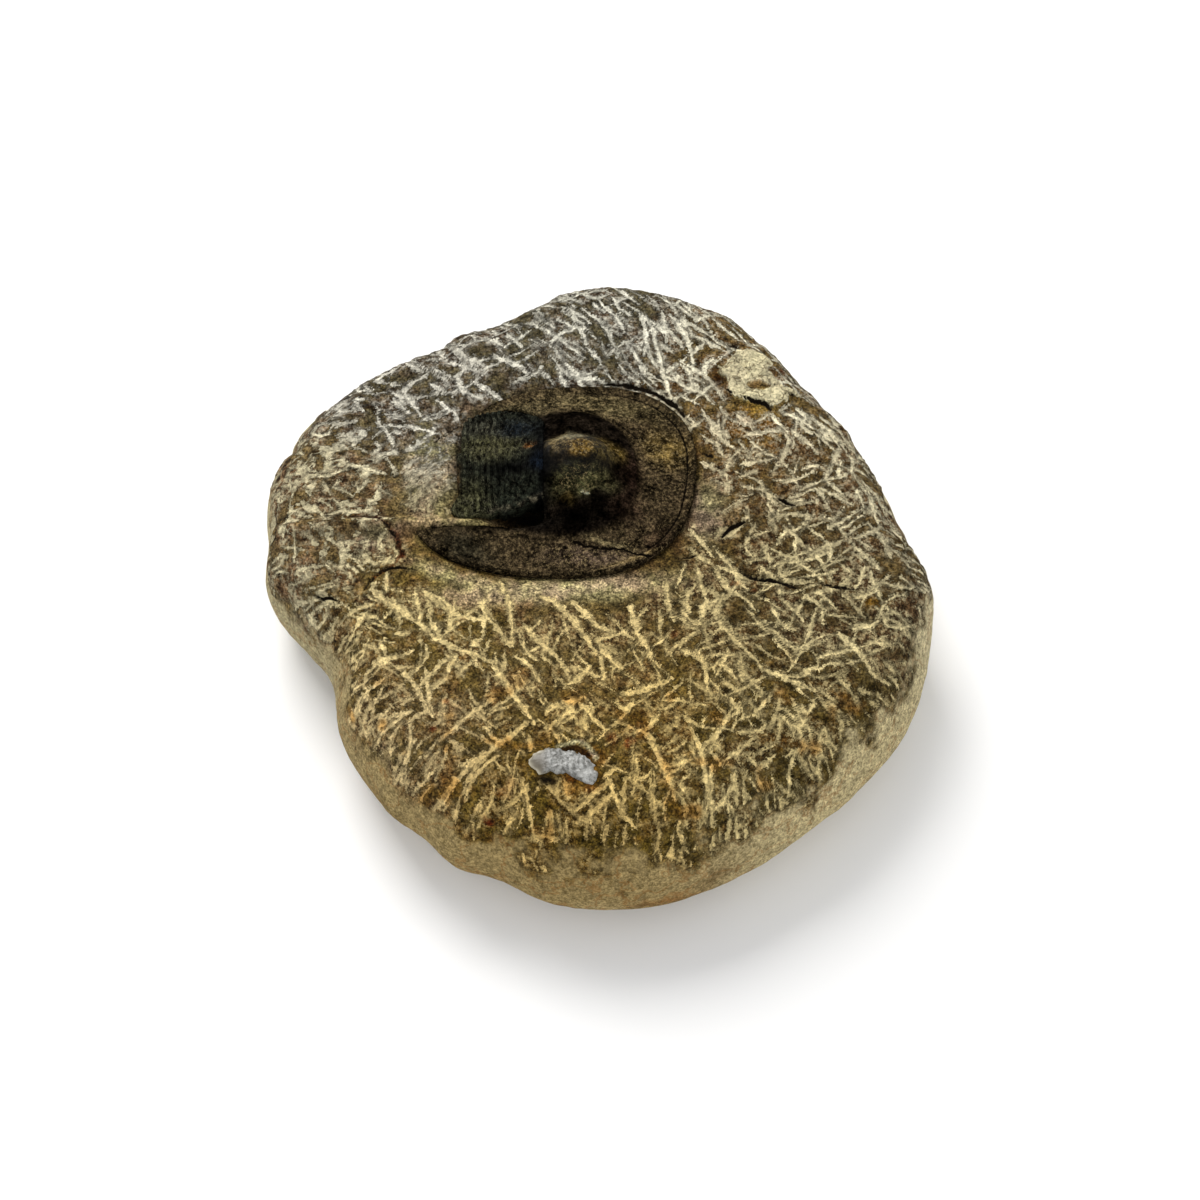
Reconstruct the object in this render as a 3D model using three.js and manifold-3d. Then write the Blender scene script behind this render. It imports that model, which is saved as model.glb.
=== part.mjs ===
// A trilobite fossil in its stone: a hand-sized limestone cobble, its crown worked back
// to bare a trilobite with a wide horseshoe brim, and a patch of white calcite near its front.
// Millimetres, +Z up. The cobble rests on the flat of its underside; the origin is the
// middle of its box on that flat. The trilobite lies along X with its head towards +X.
import * as THREE from "three";
import { mergeVertices } from "three/addons/utils/BufferGeometryUtils.js";
import Module from "manifold-3d";

// Driving dimensions.
const CROWN_HEIGHT = 23.5; // top of the cobble above its underside
const CROWN_FALL = 0.0007; // how fast the crown falls away from its highest point, per mm
const GIRTH_HEIGHT = 9.5; // where the cobble is widest, on average
const FOOT_SHARE = 0.8; // the underside's flat, as a share of the girth, on average
const BENCH = 22.8; // level of the stone worked clean round the fossil
const GAP = 0.3; // clear space between the fossil and the stone that holds it
const FOSSIL_FLOOR = 20; // underside of the fossil plates
const BRIM_EDGE = 23.4; // height of the head shield's outer edge
const BRIM_RISE = 1.2; // how far the brim climbs from its edge to the foot of the cheeks
const RIM_BEAD = 0.3; // height of the bead round the brim's edge
const CHEEK_RISE = 3.2; // the cheeks above the brim
const GLABELLA_RISE = 3; // the middle lobe of the head above the cheeks
const EYE_SIDE = 6; // how far each eye sits from the midline
const AXIS_Y = 9.9; // the trilobite's midline
const TAIL_X = -20.5; // broken end of the thorax
const NECK_X = -8; // front of the thorax
const SEGMENTS = 14; // thoracic segments that show
const RIB_RISE = 0.22; // half the height of a rib
const CALCITE_FLOOR = 19.5; // underside of the calcite patch
const CALCITE_PROUD = 0.6; // how far the patch stands out of the stone

// Everything is drawn about a datum beside the trilobite's head. This is where the datum
// lies in the part's frame, so that the cobble's box is centred on the origin.
const DATUM = { x: 0, y: 0.6 };

// The cobble's girth, about its heart: a round with swells and hollows in it.
// Each swell: bearing in degrees from +X, height (below 0 for a hollow), half width in degrees.
const HEART = { x: 0.75, y: -4.4 };
const GIRTH_RADIUS = 47.5;
const SWELLS = [
  [0, 2, 12], [9, -2, 8], [22, -1.2, 12], [57, 0.8, 5], [66, 2.2, 9], [86, 8.5, 24],
  [115, 1, 4], [129, 2.6, 12], [152, 6.5, 18], [154, -1, 2], [165, 2, 10], [178, 2.5, 6],
  [197, -5.3, 12], [218, -3, 18], [237, -1.5, 6], [251, -1.8, 7], [272, 1.3, 22], [342, 1.3, 12],
];

// The head shield's outer edge: a squarish oval about this middle, with its own reach ahead
// and behind on each side. It leans with the head and is open behind, from tip to tip.
const BRIM = { x: -3, y: 9.6, ahead: 18, nearBack: 25, farBack: 20, side: 17, lean: 0.09 };
const BRIM_SQUARENESS = 2.4; // 2 would be an ellipse
const NEAR_TIP = -151; // where the oval starts and ends, in degrees
const FAR_TIP = 146;
const BRIM_SHARE = { front: 0.36, blades: 0.9 }; // of the shield's width, outer to inner edge

// The shield's inner edge between its tips: along the near blade, across the neck, and back
// along the far blade.
const NECK = [
  [-18.5, 0.5], [-8.5, 0.8], [-7.6, 5], [-7.6, 8], [-7.6, 10],
  [-7.6, 13], [-7.6, 16], [-7.8, 19], [-12.5, 22],
];

// Outline of the calcite patch about its middle, anticlockwise seen from above.
const CALCITE = { x: -4.5, y: -38 };
const CALCITE_OUTLINE = [
  [-4.8, 1], [-4, -0.3], [-3, -1.2], [-1.5, -0.7], [0.5, -1], [2, -2], [4, -2.9],
  [5, -1.3], [4, 0.7], [2.5, 1.9], [0.5, 2.3], [-1, 2.8], [-2.3, 2.8], [-3.5, 2],
];

const STONE_COLUMNS = 84;
const CROWN_RINGS = 14;
const SHOULDER_RINGS = 6;
const UNDER_RINGS = 5;
const SHIELD_COLUMNS = 76;
const BRIM_ROWS = 5;
const CHEEK_ROWS = 12;
const STEPS_PER_RIB = 4;
const THORAX_ROWS = 12;

const wasm = await Module();
wasm.setup();

const bell = (distance, halfWidth) => Math.exp(-((distance / halfWidth) ** 2));
const ramp = (value, low, high) => THREE.MathUtils.smoothstep(value, low, high);
const mix = THREE.MathUtils.lerp;

// Radius of the cobble's girth at a bearing, in radians, about the heart.
function girthRadius(bearing) {
  const degrees = THREE.MathUtils.radToDeg(bearing);
  let radius = GIRTH_RADIUS;
  for (const [at, height, halfWidth] of SWELLS) {
    const off = THREE.MathUtils.euclideanModulo(degrees - at + 180, 360) - 180;
    radius += height * bell(off, halfWidth);
  }
  return radius;
}

// Where the crown turns down into the side, as a share of the girth: further in at the front.
function shoulderShare(bearing) {
  return 0.87 - 0.13 * Math.max(0, -Math.sin(bearing));
}

// How far a point lies outside the ellipse round the brim, in mm, below 0 inside it.
function outsideBrim(x, y) {
  const reach = x > BRIM.x ? BRIM.ahead : BRIM.nearBack;
  return (Math.hypot((x - BRIM.x) / reach, (y - BRIM.y) / BRIM.side) - 1) * BRIM.side;
}

// A point of the head shield's outer edge at an angle in degrees about the oval's middle.
function brimPoint(degrees) {
  const angle = THREE.MathUtils.degToRad(degrees);
  const power = 2 / BRIM_SQUARENESS;
  const squared = (value) => Math.sign(value) * Math.abs(value) ** power;
  const back = angle < 0 ? BRIM.nearBack : BRIM.farBack;
  const reach = Math.cos(angle) > 0 ? BRIM.ahead : back;
  const y = BRIM.side * squared(Math.sin(angle));
  const x = reach * squared(Math.cos(angle)) + BRIM.lean * y;
  return new THREE.Vector3(BRIM.x + x, BRIM.y + y, 0);
}

// Height of the worked crown: a low waved dome, cut down to a level bench round the
// fossil, with a mound of matrix left where the thorax runs into the stone, a wedge of it
// between the thorax and the near blade, and the deep hollow ahead of that wedge.
function crownHeight(x, y) {
  const fall = CROWN_FALL * ((x - HEART.x) ** 2 + (y - 3.6) ** 2);
  const waves = 0.35 * Math.sin(0.17 * x + 0.6) * Math.sin(0.15 * y + 1.1);
  const ripple = 0.2 * Math.sin(0.31 * x + 0.23 * y);
  const dome = CROWN_HEIGHT - fall + waves + ripple;
  const mound = 1.1 * bell(Math.hypot((x + 24) / 5, (y - 10) / 8), 1);
  const wedge = 1.3 * bell(y - 1.7, 1.2) * ramp(-x, 13, 18);
  const hollow = 1.2 * bell(Math.hypot((x + 10.5) / 4.5, (y - 2.4) / 1.9), 1);
  return mix(BENCH, dome, ramp(outsideBrim(x, y), 0.5, 6)) + mound + wedge - hollow;
}

// Height of the cobble's widest line, which wanders as it goes round.
function girthHeight(bearing) {
  return GIRTH_HEIGHT + 1.2 * Math.sin(2 * bearing + 0.7) + 0.6 * Math.sin(5 * bearing);
}

// Lumps of the cobble's side as a share of its radius, at a level that runs from 0 at the
// shoulder through 1 at the girth to 2 at the flat.
function sideLumps(bearing, level) {
  const long = 0.011 * Math.sin(3 * bearing + 1.6 * level + 0.5);
  const short = 0.007 * Math.sin(8 * bearing - 2.4 * level + 2);
  return 1 + (long + short) * Math.sin((level * Math.PI) / 2);
}

// A point of the cobble's skin at a bearing: stage 0 to 1 runs over the crown from its
// middle, 1 to 2 round the shoulder to the girth, and 2 to 3 under it to the flat.
function stonePoint(bearing, stage) {
  const girth = girthRadius(bearing);
  const share = shoulderShare(bearing);
  const at = (radius) => [
    HEART.x + radius * Math.cos(bearing),
    HEART.y + radius * Math.sin(bearing),
  ];
  if (stage <= 1) {
    const [x, y] = at(girth * share * stage);
    return new THREE.Vector3(x, y, crownHeight(x, y));
  }
  if (stage <= 2) {
    const turn = ((stage - 1) * Math.PI) / 2;
    const rim = crownHeight(...at(girth * share));
    const lumps = sideLumps(bearing, stage - 1);
    const [x, y] = at(girth * lumps * mix(share, 1, Math.sin(turn)));
    return new THREE.Vector3(x, y, mix(girthHeight(bearing), rim, Math.cos(turn)));
  }
  const turn = ((stage - 2) * Math.PI) / 2;
  const lumps = sideLumps(bearing, stage - 1);
  const foot = FOOT_SHARE + 0.03 * Math.sin(2 * bearing + 1);
  const [x, y] = at(girth * lumps * mix(foot, 1, Math.cos(turn)));
  return new THREE.Vector3(x, y, girthHeight(bearing) * (1 - Math.sin(turn)));
}

// A closed geometry from points and triangles, with its doubled points and flat triangles gone.
function closedGeometry(points, triangles) {
  const loose = new THREE.BufferGeometry().setFromPoints(points);
  loose.setIndex(triangles.flat());
  const merged = mergeVertices(loose, 1e-4);
  const kept = [];
  for (let i = 0; i < merged.index.count; i += 3) {
    const [a, b, c] = [0, 1, 2].map((k) => merged.index.getX(i + k));
    if (a !== b && b !== c && c !== a) kept.push(a, b, c);
  }
  merged.setIndex(kept);
  return merged;
}

// Rings of points, from the top one down, skinned and closed with a point at each end.
function ringSolid(top, rings, bottom) {
  const count = rings[0].length;
  const points = [top, ...rings.flat(), bottom];
  const triangles = [];
  const last = points.length - 1;
  for (let i = 0; i < count; i++) {
    const next = (i + 1) % count;
    triangles.push([0, 1 + i, 1 + next]);
    for (let ring = 0; ring + 1 < rings.length; ring++) {
      const upper = 1 + ring * count;
      const lower = upper + count;
      triangles.push([upper + i, lower + i, lower + next]);
      triangles.push([upper + i, lower + next, upper + next]);
    }
    const rim = last - count;
    triangles.push([rim + i, last, rim + next]);
  }
  return closedGeometry(points, triangles);
}

// A plate from a grid of top points (columns of rows, rows running to the left of the
// columns' way): its rim drops straight to a flat floor.
function plateSolid(grid, floor) {
  const columns = grid.length;
  const rows = grid[0].length;
  const points = grid.flat();
  const triangles = [];
  const at = (column, row) => column * rows + row;
  for (let c = 0; c + 1 < columns; c++)
    for (let r = 0; r + 1 < rows; r++) {
      triangles.push([at(c, r), at(c + 1, r), at(c + 1, r + 1)]);
      triangles.push([at(c, r), at(c + 1, r + 1), at(c, r + 1)]);
    }
  const rim = rimOf(grid);
  const start = points.length;
  rim.forEach((p) => points.push(new THREE.Vector3(p.x, p.y, floor)));
  const rimIndex = rimIndices(columns, rows).filter(([c, r]) => rim.includes(grid[c][r]));
  rimIndex.forEach(([c, r], i) => {
    const [nextColumn, nextRow] = rimIndex[(i + 1) % rimIndex.length];
    const low = start + i;
    const nextLow = start + ((i + 1) % rimIndex.length);
    triangles.push([at(c, r), low, nextLow]);
    triangles.push([at(c, r), nextLow, at(nextColumn, nextRow)]);
  });
  const flat = rim.map((p) => new THREE.Vector2(p.x, p.y));
  for (const [a, b, c] of THREE.ShapeUtils.triangulateShape(flat, []))
    triangles.push([start + a, start + c, start + b]);
  return closedGeometry(points, triangles);
}

// Grid places round a plate's rim, anticlockwise.
function rimIndices(columns, rows) {
  const places = [];
  for (let c = 0; c < columns; c++) places.push([c, 0]);
  for (let r = 1; r < rows; r++) places.push([columns - 1, r]);
  for (let c = columns - 2; c >= 0; c--) places.push([c, rows - 1]);
  for (let r = rows - 2; r > 0; r--) places.push([0, r]);
  return places;
}

// A plate's rim points, anticlockwise, with doubled ones at its tips left out.
function rimOf(grid) {
  const rim = [];
  for (const [c, r] of rimIndices(grid.length, grid[0].length)) {
    const point = grid[c][r];
    if (!rim.some((other) => other.distanceTo(point) < 1e-3)) rim.push(point);
  }
  return rim;
}

// A loop of points moved outwards by a distance, with sharp corners held back.
function grownLoop(loop, distance) {
  return loop.map((point, i) => {
    const before = loop[(i + loop.length - 1) % loop.length];
    const after = loop[(i + 1) % loop.length];
    const into = new THREE.Vector2(point.x - before.x, point.y - before.y).normalize();
    const out = new THREE.Vector2(after.x - point.x, after.y - point.y).normalize();
    const normal = new THREE.Vector2(into.y + out.y, -into.x - out.x).normalize();
    const mitre = Math.max(0.5, normal.dot(new THREE.Vector2(into.y, -into.x)));
    return new THREE.Vector2(point.x, point.y).addScaledVector(normal, distance / mitre);
  });
}

// The space a plate needs in the stone: its outline grown by the gap, from below its
// floor to above the whole fossil.
function pocketSolid(loop, floor) {
  const shape = new THREE.Shape(grownLoop(loop, GAP));
  const depth = CROWN_HEIGHT + 20 - floor;
  const prism = new THREE.ExtrudeGeometry(shape, { depth, bevelEnabled: false });
  return prism.translate(0, 0, floor - GAP);
}

// A three.js geometry as a manifold-3d solid, and a manifold-3d solid as a geometry.
function solidFrom(geometry) {
  const bare = geometry.clone();
  bare.deleteAttribute("normal");
  bare.deleteAttribute("uv");
  const merged = mergeVertices(bare, 1e-4);
  const vertProperties = new Float32Array(merged.attributes.position.array);
  const triVerts = new Uint32Array(merged.index.array);
  return new wasm.Manifold(new wasm.Mesh({ numProp: 3, vertProperties, triVerts }));
}

function geometryFrom(solid) {
  const { vertProperties, triVerts, numProp } = solid.getMesh();
  const geometry = new THREE.BufferGeometry();
  const positions = new Float32Array((vertProperties.length / numProp) * 3);
  for (let i = 0; i < positions.length / 3; i++)
    for (let k = 0; k < 3; k++) positions[3 * i + k] = vertProperties[numProp * i + k];
  geometry.setAttribute("position", new THREE.BufferAttribute(positions, 3));
  geometry.setIndex(new THREE.BufferAttribute(new Uint32Array(triVerts), 1));
  return geometry;
}

// The cheeks: a steep-sided dome inside the brim that fades out along the blades, and
// sinks beside the neck to meet the thorax.
function cheekHeight(x, y) {
  const forward = Math.max(0, x + 3.2) / 10;
  const reach = Math.hypot(forward, (y - 9.7) / 11.5);
  const dome = Math.max(0, 1 - reach ** 2.4) ** 0.8;
  const flank = ramp(Math.abs(y - AXIS_Y), 2.5, 5.5) * (1 - ramp(x, -8.2, -4.5));
  return CHEEK_RISE * (1 - 0.4 * flank) * dome * ramp(x, -13, -8.5);
}

// The glabella, an egg that narrows forwards, with the furrow round it and the
// ring across its neck.
function glabellaHeight(x, y) {
  const along = (x + 2.2) / 6;
  const across = (y - AXIS_Y - 0.3) / (4.5 - 0.12 * (x + 2.2));
  const reach = Math.hypot(along, across);
  const egg = GLABELLA_RISE * Math.exp(-1.9 * reach ** 3.5);
  const furrow = 0.3 * bell(reach - 1.15, 0.22) * ramp(x, -9, -6);
  const neckRing = 1.1 * bell(x + 7, 0.8) * bell(y - AXIS_Y, 3.4);
  return egg - furrow + neckRing;
}

// Eye tubercles, one on each cheek beside the glabella.
function eyeHeight(x, y) {
  const side = Math.abs(y - AXIS_Y) - EYE_SIDE;
  return 0.9 * bell(Math.hypot(x + 3.9, side), 0.8);
}

// Head shield: a ruled grid from its outer edge, over the foot of the cheeks, to its
// inner edge. Row runs from 0 at the outer edge through 1 at the foot to 2 at the inner edge.
function shieldGrid() {
  const tips = [NEAR_TIP, FAR_TIP].map(brimPoint);
  const neck = NECK.map(([x, y]) => new THREE.Vector3(x, y, 0));
  const innerEdge = new THREE.CatmullRomCurve3([tips[0], ...neck, tips[1]], false, "catmullrom", 0.5);
  const columns = [];
  for (let i = 0; i <= SHIELD_COLUMNS; i++) {
    const around = i / SHIELD_COLUMNS;
    const edge = brimPoint(mix(NEAR_TIP, FAR_TIP, around));
    const inner = innerEdge.getPoint(around);
    const towardsTip = ramp(Math.abs(2 * around - 1), 0.3, 0.8);
    const foot = edge.clone().lerp(inner, mix(BRIM_SHARE.front, BRIM_SHARE.blades, towardsTip));
    const brimWidth = edge.distanceTo(foot);
    const fullness = Math.min(1, brimWidth / 4);
    const column = [];
    for (let j = 0; j <= BRIM_ROWS + CHEEK_ROWS; j++) {
      const onBrim = j <= BRIM_ROWS;
      const share = onBrim ? j / BRIM_ROWS : (j - BRIM_ROWS) / CHEEK_ROWS;
      const place = onBrim ? edge.clone().lerp(foot, share) : foot.clone().lerp(inner, share);
      const { x, y } = place;
      const brim = BRIM_RISE * fullness * (onBrim ? share ** 1.6 : 1);
      const bead = onBrim ? RIM_BEAD * fullness * bell(share * brimWidth - 0.5, 0.5) : 0;
      const body = cheekHeight(x, y) + ramp(x, -12, -8) * (glabellaHeight(x, y) + eyeHeight(x, y));
      column.push(new THREE.Vector3(x, y, BRIM_EDGE + brim + bead + (onBrim ? 0 : body)));
    }
    columns.push(column);
  }
  return columns;
}

// Thorax: a raised axis between two flat fields that bend down at their edges, crossed
// by one rounded rib a segment.
function thoraxGrid() {
  const columns = [];
  const steps = SEGMENTS * STEPS_PER_RIB;
  for (let i = 0; i <= steps; i++) {
    const along = i / steps;
    const x = mix(TAIL_X, NECK_X, along);
    const nearEdge = mix(2.5, 5, along ** 1.6);
    const farEdge = mix(19.2, 18.2, along) + 1.7 * Math.sin(Math.PI * along);
    const column = [];
    for (let j = 0; j <= THORAX_ROWS; j++) {
      const y = mix(nearEdge, farEdge, j / THORAX_ROWS);
      const off = Math.abs(y - AXIS_Y);
      const lobe = 2 * Math.sqrt(Math.max(0, 1 - (off / 3.6) ** 2));
      const droop = 1.5 * ramp(off, 4.2, 8.6);
      const rib = -RIB_RISE * Math.cos(2 * Math.PI * SEGMENTS * along);
      const taper = 0.7 * (1 - along);
      column.push(new THREE.Vector3(x, y, 25.9 + lobe - droop - taper + rib));
    }
    columns.push(column);
  }
  return columns;
}

// The cobble, with pockets for the plates and the calcite.
function stoneGeometry(pockets) {
  const stages = [];
  for (let i = 1; i <= CROWN_RINGS; i++) stages.push(i / CROWN_RINGS);
  for (let i = 1; i <= SHOULDER_RINGS; i++) stages.push(1 + i / SHOULDER_RINGS);
  for (let i = 1; i <= UNDER_RINGS; i++) stages.push(2 + i / UNDER_RINGS);
  const rings = stages.map((stage) =>
    Array.from({ length: STONE_COLUMNS }, (_, i) =>
      stonePoint((2 * Math.PI * i) / STONE_COLUMNS, stage),
    ),
  );
  const foot = new THREE.Vector3(HEART.x, HEART.y, 0);
  let stone = solidFrom(ringSolid(stonePoint(0, 0), rings, foot));
  for (const pocket of pockets) stone = stone.subtract(solidFrom(pocket));
  return geometryFrom(stone);
}

// The calcite patch: a low, rough-topped slab whose crown follows the stone's.
function calciteGeometry() {
  const loop = calciteLoop.map(({ x, y }) => new THREE.Vector3(x, y, 0));
  const middle = new THREE.Vector3();
  loop.forEach((point) => middle.addScaledVector(point, 1 / loop.length));
  const ring = (share, lift) =>
    loop.map((point, i) => {
      const { x, y } = middle.clone().lerp(point, share);
      const rough = 0.12 * Math.sin(2.4 * i + 5 * share);
      return new THREE.Vector3(x, y, crownHeight(x, y) + lift + rough);
    });
  const floorRing = loop.map(({ x, y }) => new THREE.Vector3(x, y, CALCITE_FLOOR));
  const top = new THREE.Vector3(middle.x, middle.y, crownHeight(middle.x, middle.y) + CALCITE_PROUD);
  const rings = [ring(0.4, CALCITE_PROUD), ring(0.8, CALCITE_PROUD), ring(1, 0.3), floorRing];
  return ringSolid(top, rings, new THREE.Vector3(middle.x, middle.y, CALCITE_FLOOR));
}

function piece(name, geometry, look) {
  const mesh = new THREE.Mesh(geometry, new THREE.MeshStandardMaterial(look));
  mesh.name = name;
  geometry.computeVertexNormals();
  return mesh;
}

const shield = shieldGrid();
const thorax = thoraxGrid();
const calciteLoop = CALCITE_OUTLINE.map(([x, y]) => new THREE.Vector2(CALCITE.x + x, CALCITE.y + y));
const pockets = [
  pocketSolid(rimOf(shield), FOSSIL_FLOOR),
  pocketSolid(rimOf(thorax), FOSSIL_FLOOR),
  pocketSolid(calciteLoop, CALCITE_FLOOR),
];

const fossil = new THREE.Group();
fossil.add(
  piece("stone_matrix", stoneGeometry(pockets), { color: 0x7d6f52, roughness: 0.9, metalness: 0 }),
  piece("head_shield", plateSolid(shield, FOSSIL_FLOOR), { color: 0x2e2820, roughness: 0.45, metalness: 0 }),
  piece("thorax", plateSolid(thorax, FOSSIL_FLOOR), { color: 0x23241f, roughness: 0.6, metalness: 0 }),
  piece("calcite_patch", calciteGeometry(), { color: 0xc9c9c4, roughness: 0.35, metalness: 0 }),
);

fossil.position.set(DATUM.x, DATUM.y, 0);

export default fossil;
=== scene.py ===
import math

import bmesh
import bpy
import numpy as np
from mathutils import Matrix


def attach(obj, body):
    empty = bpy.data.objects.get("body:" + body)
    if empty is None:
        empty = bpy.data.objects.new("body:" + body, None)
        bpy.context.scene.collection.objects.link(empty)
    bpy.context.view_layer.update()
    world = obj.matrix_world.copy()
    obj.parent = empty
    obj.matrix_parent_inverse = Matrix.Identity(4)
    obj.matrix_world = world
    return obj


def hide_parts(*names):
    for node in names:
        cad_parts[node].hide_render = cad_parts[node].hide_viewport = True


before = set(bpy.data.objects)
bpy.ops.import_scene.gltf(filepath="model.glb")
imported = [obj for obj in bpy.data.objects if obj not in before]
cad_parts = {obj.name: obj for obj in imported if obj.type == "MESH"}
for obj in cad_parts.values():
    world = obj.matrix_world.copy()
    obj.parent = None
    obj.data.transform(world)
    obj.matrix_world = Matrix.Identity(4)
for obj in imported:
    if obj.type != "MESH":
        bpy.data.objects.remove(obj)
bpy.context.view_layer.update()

# ---- Driving values, in millimetres and degrees -------------------------------------------
MM = 0.001
DATUM = np.array((0.0, 0.6, 0.0))  # where the datum lies in the part's frame

HEART = np.array((0.75, -4.4))  # middle of the cobble
GIRTH_RADIUS = 47.5
SWELLS = (  # of the girth: bearing in degrees from +X, height (below 0 a hollow), half width
    (0, 2, 12), (9, -2, 8), (22, -1.2, 12), (57, 0.8, 5), (66, 2.2, 9), (86, 8.5, 24),
    (115, 1, 4), (129, 2.6, 12), (152, 6.5, 18), (154, -1, 2), (165, 2, 10), (178, 2.5, 6),
    (197, -5.3, 12), (218, -3, 18), (237, -1.5, 6), (251, -1.8, 7), (272, 1.3, 22),
    (342, 1.3, 12),
)
CROWN_HEIGHT = 23.5  # of the dome's top
CROWN_FALL = 0.0007  # how fast the dome falls away, per mm
CROWN_TOP_Y = 3.6  # where along the stone the dome is highest
BENCH = 22.8  # the level of the rock round the fossil
GIRTH_HEIGHT = 9.5
FOOT_SHARE = 0.8  # of the girth's radius
RIND_STAGES = (1.55, 1.72)  # the stages of the skin between which the natural rind begins
RING_STAGES = (1.84, 1.88, 1.93, 2, 2.08, 2.18, 2.28, 2.4, 2.52, 2.64, 2.76, 2.88, 3)

AXIS_Y = 9.9  # the trilobite's midline
EYE_SIDE = 6  # how far each eye sits from it
EYE_X, EYE_RISE = -3.9, 0.9
NEAR_EYE_RING = (-4.1, 3.9)  # the middle of the ring round the near eye
TAIL_X, NECK_X = -20.5, -8.0  # the two ends of the thorax
SEGMENTS = 14
THORAX_LEVEL = 25.9  # of the vault's shoulders
FOSSIL_FLOOR = 20.6  # where both plates end inside the stone
BRIM_EDGE = 23.4  # level of the shield's outer edge
BRIM_RISE = 1.2  # how far the brim climbs from there to the cheeks' foot
BRIM_MIDDLE = np.array((-3.0, 9.6))  # of the oval that the head shield's outer edge follows
BRIM_AHEAD, BRIM_NEAR_BACK, BRIM_FAR_BACK, BRIM_SIDE = 18.0, 25.0, 20.0, 17.0
BRIM_LEAN, BRIM_SQUARENESS = 0.09, 2.4
TIPS = (-151, 146)  # where the oval starts and ends, in degrees
FRACTURE = ((-3, -2.2), (0, -3), (3.7, -2.9), (6, -3.6), (9.4, -4.3))  # across the brim
CHEEK_LINE = ((-7, 17.6), (-2.5, 19.8), (3.2, 19), (6.4, 16.2))  # a suture on the far cheek
FRONT_SHARE, BLADE_SHARE = 0.36, 0.9  # of the shield's width from its outer to its inner edge
NECK = (  # the shield's inner edge between its tips
    (-18.5, 0.5), (-8.5, 0.8), (-7.6, 5), (-7.6, 8), (-7.6, 10),
    (-7.6, 13), (-7.6, 16), (-7.8, 19), (-12.5, 22),
)

CALCITE_MIDDLE = np.array((-4.5, -38.0))
CALCITE_OUTLINE = CALCITE_MIDDLE + np.array((
    (-4.8, 1), (-4, -0.3), (-3, -1.2), (-1.5, -0.7), (0.5, -1), (2, -2), (4, -2.9),
    (5, -1.3), (4, 0.7), (2.5, 1.9), (0.5, 2.3), (-1, 2.8), (-2.3, 2.8), (-3.5, 2),
))
CALCITE_PROUD = 0.6  # how far it stands out of the crown
CALCITE_FLOOR = 20.5
CRYSTAL = 0.75  # width of its facets

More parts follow.
